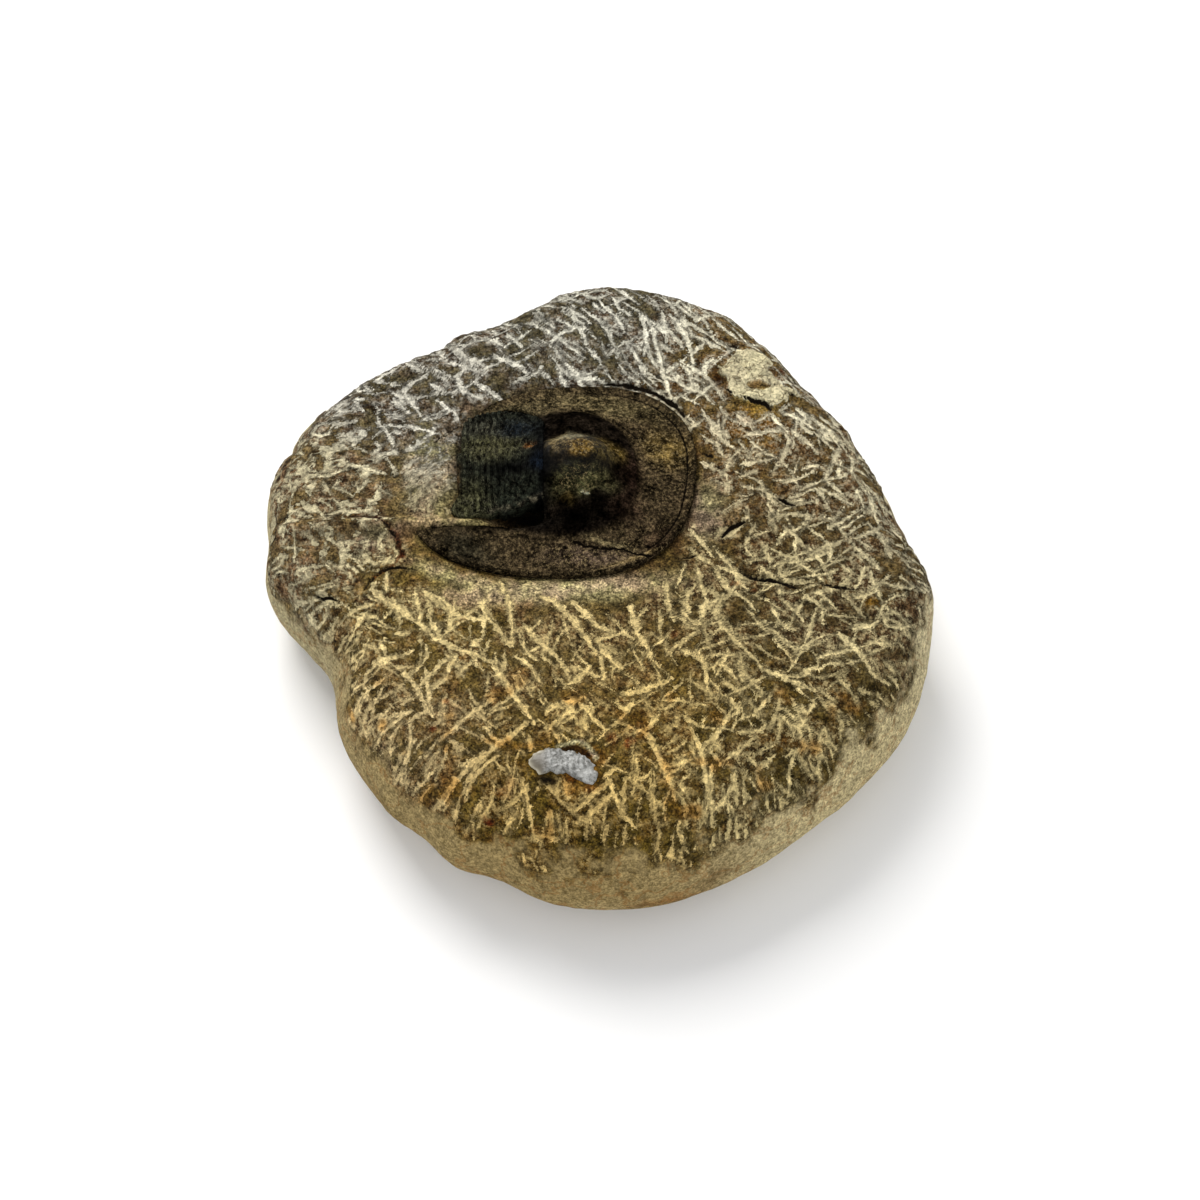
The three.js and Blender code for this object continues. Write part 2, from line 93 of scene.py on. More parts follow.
# The longest strokes of the preparer's tool, on the flattened skin: where each starts, its
# bearing in degrees, its length and its half width.
STROKES = (
    (-32, -9.5, -42, 12.5, 0.55), (-23, -17.5, -25, 10.5, 0.38), (-24.5, -10, -30, 10, 0.4),
    (-26, -9.5, -80, 5, 0.2), (-24, -11, -88, 5, 0.2), (-16, -11, -88, 6, 0.28),
    (-13.5, -8, -80, 11, 0.3), (-7.5, -11, -50, 12, 0.45), (-3, -11.5, -48, 6, 0.5),
    (-10, -15.5, -50, 10, 0.35), (-11.5, -20.5, -50, 6, 0.3), (-14.5, -22.5, -55, 10.5, 0.45),
    (-24, -19, -120, 5, 0.2), (-27, -23, -58, 8, 0.38), (-26, -19.5, -155, 8, 0.35),
    (-33, -13, -138, 7, 0.22), (-33, -17.5, -130, 5, 0.2), (-30, -23.5, -138, 6.5, 0.28),
    (-25.5, -29, -145, 8.5, 0.28), (-26, -31, -100, 7, 0.25), (-14, -27.5, -140, 10.5, 0.3),
    (-9.5, -31, -145, 11, 0.42), (-15.5, -31.5, -50, 3.5, 0.25), (-19.5, -20.5, -115, 4, 0.32),
    (-7, -29.5, 20, 5, 0.5), (-2, -28.5, -50, 5, 0.32), (-3, -22, -25, 5, 0.25),
    (17, -13.5, -53, 11.5, 0.32), (24, -22.5, -25, 8, 0.45), (35, -16.5, -48, 9.5, 0.42),
    (32, -12.5, -113, 11.5, 0.22), (27, -11, -50, 5, 0.16), (25.5, -13, -45, 4.5, 0.26),
    (31.5, -2, -62, 6, 0.2), (26, -2.5, -38, 9, 0.2), (25, -2, -78, 4, 0.26),
    (39.5, -5, -115, 4.5, 0.2), (40, -6, -68, 7, 0.22), (32, -20.5, 15, 5, 0.2),
    (31, -22.5, 15, 4.5, 0.2), (34.5, -23.5, -45, 6.5, 0.26), (27.5, -27, -70, 4.5, 0.26),
    (31, -27, -108, 4.5, 0.26), (15, -6, -80, 6, 0.3), (18, -5.5, -42, 5.5, 0.26),
    (10.5, -8.5, -85, 6.5, 0.42), (5, -12.5, -68, 8.5, 0.5), (14, -20, 20, 5.5, 0.2),
    (19, -19.5, -115, 5, 0.22), (12, -19.5, -35, 4, 0.26), (1, -19, -50, 4.5, 0.5),
    (4, -26.5, 18, 6.5, 0.5), (9.5, -27.5, -8, 6, 0.2), (18.5, -27, -40, 4, 0.22),
    (25, -26.5, -130, 4, 0.3), (9, -30, -140, 4.5, 0.32), (-12.5, -33.5, -138, 16, 0.42),
    (-13.5, -36, -127, 8, 0.32), (-21, -34.5, -108, 5, 0.16), (-25, -33.5, -120, 6.5, 0.26),
    (-10, -40, -80, 8, 0.28), (2, -40, -135, 7, 0.4), (-9.5, -48.5, -5, 5, 0.35),
    (-7.5, -50, -88, 4, 0.3), (-10.5, -49.5, -92, 3, 0.35), (13.5, -32, -77, 15.5, 0.48),
    (7.5, -33, -70, 11, 0.42), (12, -46.5, -70, 5, 0.3), (13.5, -37, -160, 4, 0.25),
    (2, -40, -63, 8, 0.32), (19.5, -39, -80, 5, 0.38), (19.5, -41.5, -125, 4.5, 0.36),
    (25.5, -36, -138, 4, 0.3), (27, -36, 10, 6, 0.26), (33, -32, -86, 7.5, 0.32),
    (28.5, -36, -87, 6, 0.3), (24.5, -42.5, -55, 3.5, 0.3), (19.5, -46, -88, 5, 0.26),
    (20.5, -46, -80, 5, 0.26), (17.5, -48.5, -88, 4.5, 0.45), (4, -50.5, -90, 4, 0.36),
    (11, -50.5, -85, 3.5, 0.55),
    (-10, 40, -42, 11.5, 0.26), (-6, 40.5, -35, 5, 0.26), (-2, 42.5, -50, 7, 0.26),
    (0.5, 44, -58, 7.5, 0.26), (2.5, 45, -52, 5, 0.3), (7, 41.5, -86, 8, 0.36),
    (9, 36.5, -78, 12, 0.36), (10.5, 41.5, -85, 5.5, 0.3), (12, 40.5, -72, 9, 0.36),
    (-6, 30.5, -20, 8, 0.36), (-1, 34.5, -60, 4, 0.26), (-5.5, 29.5, -65, 4, 0.26),
    (-3, 29, -62, 3.5, 0.26), (4.5, 36, -58, 6.5, 0.22), (19, 28.5, -135, 5.5, 0.26),
    (18, 32.5, -115, 3.5, 0.4), (14.5, 28.5, -60, 2.5, 0.36), (-16.5, 37, -42, 3.5, 0.3),
    (-13.5, 38, -55, 3.5, 0.3), (-15.5, 33, -35, 6, 0.4), (-22, 32, -28, 5, 0.36),
    (-21, 29, -75, 3.5, 0.5), (-18.5, 28, -38, 6.5, 0.36), (-24, 25, -50, 5, 0.3),
    (-23.5, 18, 165, 8, 0.2), (-24, 19, -135, 5.5, 0.26), (-32, 20, -65, 4.5, 0.3),
    (-38, 14, -25, 7, 0.3), (-42, 11, 12, 4, 0.3), (-48, 10, 0, 6, 0.2),
    (-44.5, -1, -90, 3, 0.3), (17.5, 20, -55, 6, 0.32), (22, 9, -30, 7, 0.2),
)
CRACKS = (  # half width, then places on the skin
    (0.4, (1.5, 27.7), (4, 27.6), (6, 27.2), (8.5, 26.3), (10.5, 25), (12.5, 23.3), (13.6, 21.5)),
    (0.55, (10.5, 25), (12.5, 23.6)), (0.25, (16, 15), (17.5, 14)),
    (0.42, (22.5, 25), (24, 24.4), (25.5, 24), (26.7, 22.8)), (0.2, (19.5, 26.8), (21, 25.6)),
    (0.28, (29, 25.9), (31, 25.6)), (0.12, (21.5, 32), (23.2, 30.8)),
    (0.1, (23, 29.5), (24.5, 28.5)), (0.1, (26, 29), (27, 27.5), (28.2, 26.8)),
    (0.22, (-33.5, -9), (-31.5, -6.5), (-28.5, -5.5), (-26, -6)),
    (0.16, (-36.5, 3), (-33, 3.2), (-31, 2), (-29, -0.5), (-28, -3.5)),
    (0.28, (-42.5, -9.5), (-40, -10), (-38, -10.5)), (0.22, (12, -4), (13.5, -4), (15, -3.5)),
    (0.35, (18.5, 0), (20, 1.5), (22, 2.5)), (0.3, (21, -6), (23, -7.5), (26.5, -8), (29, -9)),
    (0.28, (27, 6.8), (28.5, 6), (29.5, 5.4)), (0.25, (32.5, -8), (35, -8.8), (38, -9)),
    (0.26, (20.5, 35.5), (22, 35)), (0.22, (-24.5, 16.5), (-22, 18.5), (-20.5, 20)),
    (0.3, (-24, 0.9), (-20, 0.7), (-14, 0.5)),
)
CRUST_MIDDLE = np.array((23.5, 29.2))
CRUST_OUTLINE = CRUST_MIDDLE + 1.15 * np.array((  # the cream crust
    (-4, 2), (-3.3, 1.5), (-2.4, 2.7), (-1.5, 4), (1, 5), (2.7, 4.5), (3.6, 3.5), (3.5, 2.2),
    (2.7, 1.2), (3.3, -0.2), (4.7, -1.7), (6, -1.7), (7, -2.8), (5.2, -3.3), (4.8, -4.3),
    (3.3, -5.2), (1.4, -4.6), (-0.8, -4.5), (-2, -3.3), (-3.2, -2.2), (-2.9, -0.6), (-3.8, 0.8),
))
CRUST_HOLE = (25, 27, 1.7, 0.9)  # x, y and half widths of the place where it has come off
VEINS = (  # thin coloured lines: half width, colour, strength, then places on the skin
    (0.32, "#3f1d0e", 0.8, (-36.5, 3), (-33, 3.2), (-31, 2), (-29, -0.5), (-28, -3.5)),
    (0.22, "#5c2c12", 0.7, (-28, -3.5), (-30, -6), (-32, -7)),
    (0.5, "#2a1a0b", 0.95, (-4.2, -35.6), (-3, -35.3), (-2, -35.6), (-1, -36.4)),
    (0.3, "#b4ad97", 0.95, (-5, -35), (-3.5, -34.5), (-2.5, -34.3), (-1.5, -34.5), (-0.5, -35.5),
     (0.2, -37)),
)
RUST = (  # rusty stains: x, y, half width, strength
    (-21, -27.5, 0.7, 0.9), (-22.5, -32, 0.6, 0.9), (-2.5, -25, 0.6, 1),
    (2.5, -33.5, 1.2, 0.6), (5, -34.5, 0.9, 0.7), (-15, -45.5, 1, 0.9), (13, 19.5, 1.2, 0.5),
    (-1, -41.5, 1.2, 0.5), (-30, -8, 1.2, 0.35), (-12, -41, 2.2, 0.35), (7, -32, 2.5, 0.35),
    (29.5, 31.5, 1, 0.6), (20, 33.5, 0.7, 0.7), (20.5, -8.5, 0.8, 0.7), (11, -17, 1.2, 0.5),
    (1, -36, 2, 0.3), (-19, -15, 1.2, 0.25), (-15, -48, 1.5, 0.5), (8, -37, 2, 0.25),
    (23, 21, 1.5, 0.25), (26, -45, 1.5, 0.35), (4, -53, 1.5, 0.4), (-20, -29, 1.5, 0.25),
    (23, -9.6, 0.6, 0.9), (24.5, 6.5, 1, 0.6),
)

# Places whose rock has a colour of its own: x, y on the skin, the rock, the powder of a stroke.
TINTS = (
    (-4, 38, "#544e41", "#dcd8c6"), (-26, 30, "#524b3d", "#e2ddcc"), (24, 28, "#645336", "#e6dfc4"),
    (-42, 2, "#6d5d45", "#d0c5a0"), (-24, -14, "#665630", "#e0ca8e"), (-2, -18, "#64553a", "#e2ca8e"),
    (6, -28, "#63522a", "#e4c67e"), (30, -8, "#4b3e2a", "#dccb98"), (42, 8, "#5c4d35", "#e4d9b4"),
    (-6, -44, "#574820", "#d8ba78"), (26, -34, "#524526", "#dfca90"), (-30, -32, "#68583a", "#d6be8a"),
    (20, 12, "#5b4a2e", "#dccca2"), (14, -10, "#504228", "#dec990"),
)
BUFF = (  # the natural side of the cobble: x, y on the skin, colour
    (-52, 0, "#aba07c"), (-38, -38, "#98855a"), (0, -60, "#8d7a50"), (40, -38, "#b8a97f"),
    (56, 4, "#c8bc96"), (20, 56, "#b4ab8e"), (-30, 50, "#aaa183"),
)
GROUND_SPOTS = (  # x, y, half widths, turned by degrees, colour, strength: patches of the rock
    (16.5, 4.5, 2.8, 5.5, 0, "#89826f", 0.95), (-24.5, 10.5, 3.6, 8.5, 0, "#9b9780", 0.9),
    # The black spot at (-9.5, 3.5) is painted shadow in the hollow between the thorax and the near
    # blade.
    (-21, 1.7, 6.5, 1.2, 0, "#a59b7c", 0.95), (-9.5, 3.5, 6.5, 2.8, 0, "#060504", 1),
    (-6, -9.5, 17, 2.4, 4, "#ada689", 0.95), (23.5, 19, 4.5, 4, 0, "#6d5526", 0.7),
    (17.5, 0.5, 1.1, 0.9, 0, "#1c1409", 0.9), (-23, -16, 2, 1.2, 0, "#6f6d60", 0.5),
    (-30.5, -35, 3, 2, 0, "#75705f", 0.5), (42, -21, 5, 3, -20, "#7d6f50", 0.5),
    (11, 27, 4, 2, 0, "#4a2f1a", 0.6), (-3, 27.5, 9, 1.6, 0, "#3d2c1c", 0.5),
    (18.9, 28.8, 1.3, 2.4, 0, "#402810", 1), (24.5, 22, 2.4, 1.3, -20, "#8a7538", 0.7),
    # The black spot at (-6.8, -39.8) is painted shadow under the calcite's left end.
    (-6.8, -39.8, 2, 1, 0, "#120d07", 1), (-3.2, -39.8, 1.3, 0.7, 0, "#4c1a0a", 0.95),
    (-32, 0, 3.4, 2.4, 10, "#7d7668", 0.8), (28, 30, 1.3, 1, -40, "#4c3c20", 0.8),
    (20.8, 34.6, 0.9, 0.5, 20, "#14161a", 0.9), (39.5, -11, 1.8, 1.4, 0, "#6f5420", 0.8),
    (33, -8.5, 3, 1, 10, "#7a6338", 0.5), (-21, -7, 7, 1.5, -22, "#a39c7e", 0.85),
    (26, -34, 1.2, 1.6, 0, "#5c4016", 0.6),
)
RIND_SPOTS = (  # the same for the cobble's natural side
    (12, -61, 8, 1.5, 8, "#7c5428", 0.7), (20, -56, 4, 2, 30, "#5e4526", 0.6),
    (-14, -62, 6, 3, -10, "#a08a5c", 0.6), (-34, -44, 5, 2.5, -50, "#6e5a30", 0.5),
    (1, -63, 5, 3, 0, "#a5936a", 0.5), (-47, -22, 3, 5, 20, "#b5aa88", 0.6),
)
SHELL_SPOTS = (  # the same for the head's shell
    (10.8, 14.7, 3.4, 3, -30, "#4f4122", 0.9),
    (2, 22.5, 9, 2.2, -12, "#3d3724", 0.8), (-11, 21.8, 6, 2, 8, "#3a3524", 0.6),
    (5.4, 8.5, 1.8, 3.5, 0, "#1d130e", 0.8), (4.6, 3.4, 3, 2.4, 0, "#1e150f", 0.8),
    (-5.9, 12, 2.2, 2.2, -20, "#453a22", 0.9), (-3.2, 13.5, 3, 1.3, 5, "#4f4b3a", 0.9),
    (2.4, 12.4, 2, 1.4, -35, "#4f4019", 0.9), (0.6, 10.6, 2.6, 1.6, 0, "#352d14", 0.8),
    # At (-1.9, 10.4) the golden patch is a painted highlight on the glabella's top; at (-3.6, 8.2)
    # black is painted shade in the hollow on its flank.
    (-1.9, 10.4, 1.9, 1.3, 3, "#614a19", 1), (-3.6, 8.2, 3.1, 0.9, 3, "#050403", 0.97),
    (-2, 6.1, 4.6, 1.9, 4, "#34331f", 0.95), (0.8, 4.6, 1.3, 1.5, 0, "#080604", 0.95),
    # At (-1.2, 4.8) the small pale spot is a painted glint.
    (-4.1, 3.8, 1.2, 1.1, 0, "#271f0c", 0.9), (-1.2, 4.8, 0.6, 0.3, -30, "#83836f", 0.9),
    # At (-8, 9.5) black is painted shade where the head meets the thorax; at (-3, 1.3) and (-12, 0.6)
    # it is painted shadow below the near cheek and on the near blade's inner edge.
    (-8, 9.5, 1.7, 9, 0, "#050505", 1), (-3, 1.3, 7.5, 2.3, 4, "#040302", 0.99),
    (-12, 0.6, 7, 1, 4, "#0a0806", 0.9), (-16, -4, 5, 2, -12, "#2f271a", 0.5),
    (6.2, -4.2, 4.5, 0.4, 22, "#6a5a38", 0.7), (-1, -4.4, 6.5, 1.4, 0, "#40352b", 0.7),
    (-19, -3, 4.5, 2.4, -20, "#1a1912", 0.8), (2.4, -2.3, 2.8, 0.5, -12, "#6b6044", 0.8),
    (9.5, -1.5, 3, 2.6, 40, "#2c2017", 0.6), (8, 20, 4, 1.2, -35, "#231d10", 0.7),
)
THORAX_SPOTS = (  # the same for the thorax
    (-18.6, 4, 3.2, 3, 0, "#3d3c28", 0.9), (-15.5, 13.6, 4.6, 3.4, 0, "#3f3d28", 0.9),
    # At (-11.8, 9) black is painted shade along the axial lobe; at (-7.6, 9.5) it is painted shade
    # where the thorax meets the head.
    (-12, 17.8, 3.6, 1.8, 0, "#11161b", 0.9), (-11.8, 9, 5.4, 1.4, 4, "#060605", 0.97),
    (-7.6, 9.5, 2.4, 12, 0, "#050505", 1), (-8.2, 9.4, 1.3, 1.6, 0, "#0a1018", 0.7),
    (-9.7, 13.7, 0.75, 0.9, 0, "#6a431d", 1), (-11.5, 5.6, 3.6, 1.6, 15, "#1b1e17", 0.8),
    (-20.4, 7.5, 0.7, 2.4, 0, "#3a2a18", 0.7), (-17, 18.4, 3, 1.5, 0, "#34332a", 0.7),
)
RUST_ON_ROCK, RUST_ON_POWDER = "#5f2410", "#b5763a"
GOLD_ON_ROCK, GOLD_ON_POWDER = "#6e4e1c", "#c9974c"
CRUST_BASE, CRUST_POWDER = "#b7ad8c", "#d2c8a3"
PIT_DARK = "#2b1d10"
TINT_REACH, BUFF_REACH = 11, 22  # how far each site's colour carries, in mm

THORAX_LOOP = np.array(((-20.5, 2.5), (-14, 3), (-7.2, 5), (-7.2, 19), (-14, 21.3), (-20.5, 19.4)))
GREY_PATCH = (16.3, 4.8)  # the middle of the smooth grey place beside the brim
GREY_HALF_WIDTH = 2.6
LATTICE = 2.45  # spacing of the places that short strokes start from
LATTICE_HALF = 32  # how many of them lie on each side of the datum
SCRAPES = 46  # fine strokes on the scraped ground behind the thorax
CHART_REACH, CHART_CELL = 74, 0.16
FAR = 3.0  # stands for a distance too far to matter
SEED = 23
GRID, CALCITE_GRID = 285, 61  # points along each side of the grids wrapped on a disc
GRID_SHOULDER = 0.8  # how much of the shoulder the cobble's grid covers
SHIELD_COLUMNS, BRIM_ROWS, CHEEK_ROWS = 400, 56, 76
OUTLINE_POINTS = 103  # of the shield's outline as the rock follows it
THORAX_COLUMNS, THORAX_ROWS = 300, 130

LENS, SENSOR = 76.38, 36.0
ELEVATION, DISTANCE = 58, 380  # the camera's, from its aim
AIM = np.array((0.75, -3.8, 12.0))  # inside the cobble, in the part's frame


# ---- Small tools ---------------------------------------------------------------------------
def bell(distance, half_width):
    """A smooth bump: e to the minus (distance over half width) squared."""
    return np.exp(-((distance / half_width) ** 2))


def ramp(value, low, high):
    """A smooth step from 0 at low to 1 at high."""
    share = np.clip((value - low) / (high - low), 0.0, 1.0)
    return share * share * (3.0 - 2.0 * share)


def mix(start, end, share):
    """From start, at share 0, to end, at share 1."""
    return start + (end - start) * share


def linear(code):
    """An sRGB hex colour as three linear numbers."""
    srgb = np.array([int(code[k:k + 2], 16) / 255.0 for k in (1, 3, 5)])
    return np.where(srgb <= 0.04045, srgb / 12.92, ((srgb + 0.055) / 1.055) ** 2.4)


def hashed(cells, seed):
    """A number from -1 to 1 for each lattice cell: its whole coordinates times large primes,
    stirred with shifts and a product."""
    value = (cells * np.array((73856093, 19349663, 83492791))).sum(-1) + seed * 2654435761
    value = ((value ^ (value >> 13)) * 1274126177) & 0xFFFFFFFF
    value = ((value ^ (value >> 15)) * 2246822519) & 0xFFFFFFFF
    return ((value ^ (value >> 16)) & 0xFFFF) / 32767.5 - 1.0


def noise(points, size, seed=0):
    """Value noise: hashed numbers on a cubic lattice of that cell size, blended smoothly. The
    seed sets one field apart from another."""
    place = points / size
    cell = np.floor(place).astype(np.int64)
    share = place - cell
    share = share * share * (3.0 - 2.0 * share)
    total = 0.0
    for corner in np.ndindex(2, 2, 2):
        weight = np.prod(np.where(corner, share, 1.0 - share), axis=-1)
        total = total + weight * hashed(cell + corner, seed)
    return total


def rough(points, size, octaves, seed=0):
    """Noise added up over octaves, each half the size and half the height of the last."""
    return sum(noise(points, size / 2**k, seed + k) / 2**k for k in range(octaves))


def spline(points, share):
    """Uniform Catmull-Rom curve through points, carried straight on past its two ends, at
    shares of its whole run from 0 to 1."""
    ends = np.concatenate([[2 * points[0] - points[1]], points, [2 * points[-1] - points[-2]]])
    place = np.clip(share, 0, 1) * (len(points) - 1)
    first = np.minimum(place.astype(int), len(points) - 2)
    t = (place - first).reshape(-1, *[1] * (points.ndim - 1))
    a, b, c, d = (ends[first + k] for k in range(4))
    return b + 0.5 * t * (c - a + t * (2 * a - 5 * b + 4 * c - d + t * (3 * (b - c) + d - a)))


def line_distance(x, y, points):
    """Distance from each place to a broken line, which side of it the place lies on, 1 or
    -1, and how far along it that is, from 0 to 1."""
    best = np.full(np.shape(x), 1e9)
    side, along = np.ones(np.shape(x)), np.zeros(np.shape(x))
    steps = len(points) - 1
    for k, ((ax, ay), (bx, by)) in enumerate(zip(points[:-1], points[1:])):
        dx, dy = bx - ax, by - ay
        t = np.clip(((x - ax) * dx + (y - ay) * dy) / (dx * dx + dy * dy + 1e-9), 0, 1)
        away = np.hypot(x - ax - t * dx, y - ay - t * dy)
        nearer = away < best
        best = np.where(nearer, away, best)
        side = np.where(nearer, np.where(dx * (y - ay) > dy * (x - ax), 1, -1), side)
        along = np.where(nearer, (k + t) / steps, along)
    return best, side, along


def inside_loop(x, y, loop):
    """True where a place lies inside a closed loop: a line from it crosses it an odd number
    of times."""
    inside = np.zeros(np.shape(x), bool)
    for (ax, ay), (bx, by) in zip(loop, np.roll(loop, -1, 0)):
        if ay != by:
            crosses = (ay > y) != (by > y)
            inside ^= crosses & (x < ax + (y - ay) * (bx - ax) / (by - ay))
    return inside


def loop_distance(x, y, loop):
    """Distance to a closed loop, below 0 inside it."""
    away, _, _ = line_distance(x, y, np.concatenate([loop, loop[:1]]))
    return np.where(inside_loop(x, y, loop), -away, away)


def grid_faces(index):
    """Quads between neighbouring points of a grid of point numbers."""
    corners = (index[:-1, :-1], index[1:, :-1], index[1:, 1:], index[:-1, 1:])
    return np.stack(corners, -1).reshape(-1, 4)


def merge_doubles(mesh):
    """Joins the points that lie on each other, as at the shield's tips."""
    net = bmesh.new()
    net.from_mesh(mesh)
    bmesh.ops.remove_doubles(net, verts=net.verts, dist=0.001 * MM)
    net.to_mesh(mesh)
    net.free()


def make_piece(name, node, points, faces, material, attributes):
    """A mesh piece in the part's frame from points in mm about the datum; attributes are
    numbers or colours for each point. It stands for its CAD node and rides on the body."""
    mesh = bpy.data.meshes.new(name)
    mesh.from_pydata(((points + DATUM) * MM).tolist(), [], faces)
    mesh.polygons.foreach_set("use_smooth", np.ones(len(mesh.polygons), bool))
    for key, values in attributes.items():
        values = np.asarray(values, np.float32)
        if values.ndim == 2:
            values = np.concatenate([values, np.ones((len(values), 1), np.float32)], 1)
            layer = mesh.attributes.new(key, "FLOAT_COLOR", "POINT")
            layer.data.foreach_set("color", values.ravel())
        else:
            layer = mesh.attributes.new(key, "FLOAT", "POINT")
            layer.data.foreach_set("value", values)
    merge_doubles(mesh)
    mesh.materials.append(material)
    mesh.update()
    piece = bpy.data.objects.new(name, mesh)
    bpy.context.scene.collection.objects.link(piece)
    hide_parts(node)
    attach(piece, "root")
    return piece


class Chart:
    """A flat map of tool strokes, in cells of one size in mm: for each cell, which stroke's
    edge is nearest, and how far outside that edge the cell lies, below 0 inside."""

    def __init__(self, low, high, cell):
        self.low, self.cell = np.array(low, float), cell
        sides = [np.arange(a, b, cell) for a, b in zip(low, high)]
        self.x, self.y = np.meshgrid(*sides, indexing="ij")
        self.edge = np.full(self.x.shape, FAR)
        self.owner = np.full(self.x.shape, -1)
        self.strokes = []

    def measure(self, number, x, y):
        """Distances from a stroke's middle line, the side, its half width there, widest a
        third of the way along, and how far along it the places lie, in mm."""
        points, half_width, _, taper = self.strokes[number]
        away, side, along = line_distance(x, y, points)
        swell = np.sin(np.pi * along**0.7) ** 0.7
        run = along * np.hypot(*np.diff(points, axis=0).T).sum()
        uneven = 1 + 0.3 * np.sin(2.1 * run + number) + 0.22 * np.sin(5.3 * run + 3 * number + side)
        return away, side, half_width * (1 - taper * (1 - swell)) * uneven, run

    def stroke(self, points, half_width, strength, taper=0.75):
        """Draws one stroke along a line, narrower by taper towards its ends."""
        points = np.asarray(points, float)
        low = np.floor((points.min(0) - 2.0 - self.low) / self.cell).astype(int)
        high = np.ceil((points.max(0) + 2.0 - self.low) / self.cell).astype(int)
        window = tuple(
            slice(max(0, a), max(0, min(b, n))) for a, b, n in zip(low, high, self.edge.shape)
        )
        self.strokes.append((points, half_width, strength, taper))
        away, _, half, _ = self.measure(len(self.strokes) - 1, self.x[window], self.y[window])
        nearer = away - half < self.edge[window]
        self.edge[window] = np.where(nearer, away - half, self.edge[window])
        self.owner[window] = np.where(nearer, len(self.strokes) - 1, self.owner[window])

    def cell_at(self, x, y):
        """The numbers of the cell at a place."""
        u = np.clip((x - self.low[0]) / self.cell, 0, self.edge.shape[0] - 1)
        v = np.clip((y - self.low[1]) / self.cell, 0, self.edge.shape[1] - 1)
        return np.rint(u).astype(int), np.rint(v).astype(int)

    def read(self, x, y):
        """For each place, measured from the stroke it belongs to: how far outside its edge it
        lies, the distance from its middle line with its side's sign, its half width, how far
        along it, and its strength."""
        owner = self.owner[self.cell_at(x, y)]
        edge, across, half, run, strength = (np.full(len(x), v) for v in (FAR, FAR, 0.0, 0.0, 0.0))
        order = np.argsort(owner, kind="stable")
        for places in np.split(order, np.flatnonzero(np.diff(owner[order])) + 1):
            number = owner[places[0]]
            if number < 0:
                continue
            away, side, half[places], along = self.measure(number, x[places], y[places])
            edge[places] = away - half[places]
            across[places] = away * side
            run[places] = along + 7.3 * number
            strength[places] = self.strokes[number][2]
        return edge, across, half, run, strength


def bowed(start, bearing, length, bow):
    """Five points of a stroke from its start, at a bearing, bent to one side by bow."""
    t = np.linspace(0, 1, 5)
    side = bow * np.sin(np.pi * t)
    x = start[0] + length * t * math.cos(bearing) - side * math.sin(bearing)
    y = start[1] + length * t * math.sin(bearing) + side * math.cos(bearing)
    return np.stack([x, y], -1)


# ---- The cobble's form ---------------------------------------------------------------------
def girth_radius(bearing):
    """Radius of the girth at a bearing: a round with the swells and hollows added."""
    radius = np.full(np.shape(bearing), GIRTH_RADIUS)
    for at, height, half_width in SWELLS:
        off = (np.degrees(bearing) - at + 180) % 360 - 180
        radius = radius + height * bell(off, half_width)
    return radius


def outside_brim(x, y):
    """How far a place lies outside an ellipse as large as the brim, below 0 inside it."""
    reach = np.where(x > BRIM_MIDDLE[0], BRIM_AHEAD, BRIM_NEAR_BACK)
    share = np.hypot((x - BRIM_MIDDLE[0]) / reach, (y - BRIM_MIDDLE[1]) / BRIM_SIDE)
    return (share - 1) * BRIM_SIDE


def crown_height(x, y):
    """Height of the crown: a low waved dome, which falls with the square of the distance from
    its top, cut to a level bench round the fossil, with a mound behind the thorax, a wedge
    between the thorax and the near blade, and the hollow ahead of the wedge."""
    fall = CROWN_FALL * ((x - HEART[0]) ** 2 + (y - CROWN_TOP_Y) ** 2)
    waves = 0.35 * np.sin(0.17 * x + 0.6) * np.sin(0.15 * y + 1.1)
    ripple = 0.2 * np.sin(0.31 * x + 0.23 * y)
    dome = CROWN_HEIGHT - fall + waves + ripple
    mound = 1.1 * bell(np.hypot((x + 24) / 5, (y - 10) / 8), 1)
    wedge = 1.3 * bell(y - 1.7, 1.2) * ramp(-x, 13, 18)
    hollow = 1.2 * bell(np.hypot((x + 10.5) / 4.5, (y - 2.4) / 1.9), 1)
    return mix(BENCH, dome, ramp(outside_brim(x, y), 0.5, 6)) + mound + wedge - hollow


def girth_height(bearing):
    """Height of the widest line, which wanders as it goes round."""
    return GIRTH_HEIGHT + 1.2 * np.sin(2 * bearing + 0.7) + 0.6 * np.sin(5 * bearing)


def side_lumps(bearing, level):
    """Lumps of the side as a share of its radius, for a level from 0 at the shoulder through
    1 at the girth to 2 at the flat."""
    long = 0.011 * np.sin(3 * bearing + 1.6 * level + 0.5)
    short = 0.007 * np.sin(8 * bearing - 2.4 * level + 2)
    return 1 + (long + short) * np.sin(level * np.pi / 2)


def quarter_arc(a, c):
    """Length of a quarter of an ellipse with half axes a and c."""
    return np.pi / 4 * (3 * (a + c) - np.sqrt((3 * a + c) * (a + 3 * c)))


def section(bearing):
    """What one upright section of the cobble is made of, at a bearing: the radii of the girth
    and of the crown's rim, the heights of the rim and of the girth, the foot's radius, and how
    long the skin is over the shoulder and under it."""
    girth = girth_radius(bearing)
    rim = girth * (0.87 - 0.13 * np.maximum(0, -np.sin(bearing)))
    x, y = HEART[0] + rim * np.cos(bearing), HEART[1] + rim * np.sin(bearing)
    rim_height = crown_height(x, y)
    widest = girth_height(bearing)
    foot = girth * (FOOT_SHARE + 0.03 * np.sin(2 * bearing + 1))
    shoulder = quarter_arc(girth - rim, rim_height - widest)
    under = quarter_arc(girth - foot, widest)
    return girth, rim, rim_height, widest, foot, shoulder, under


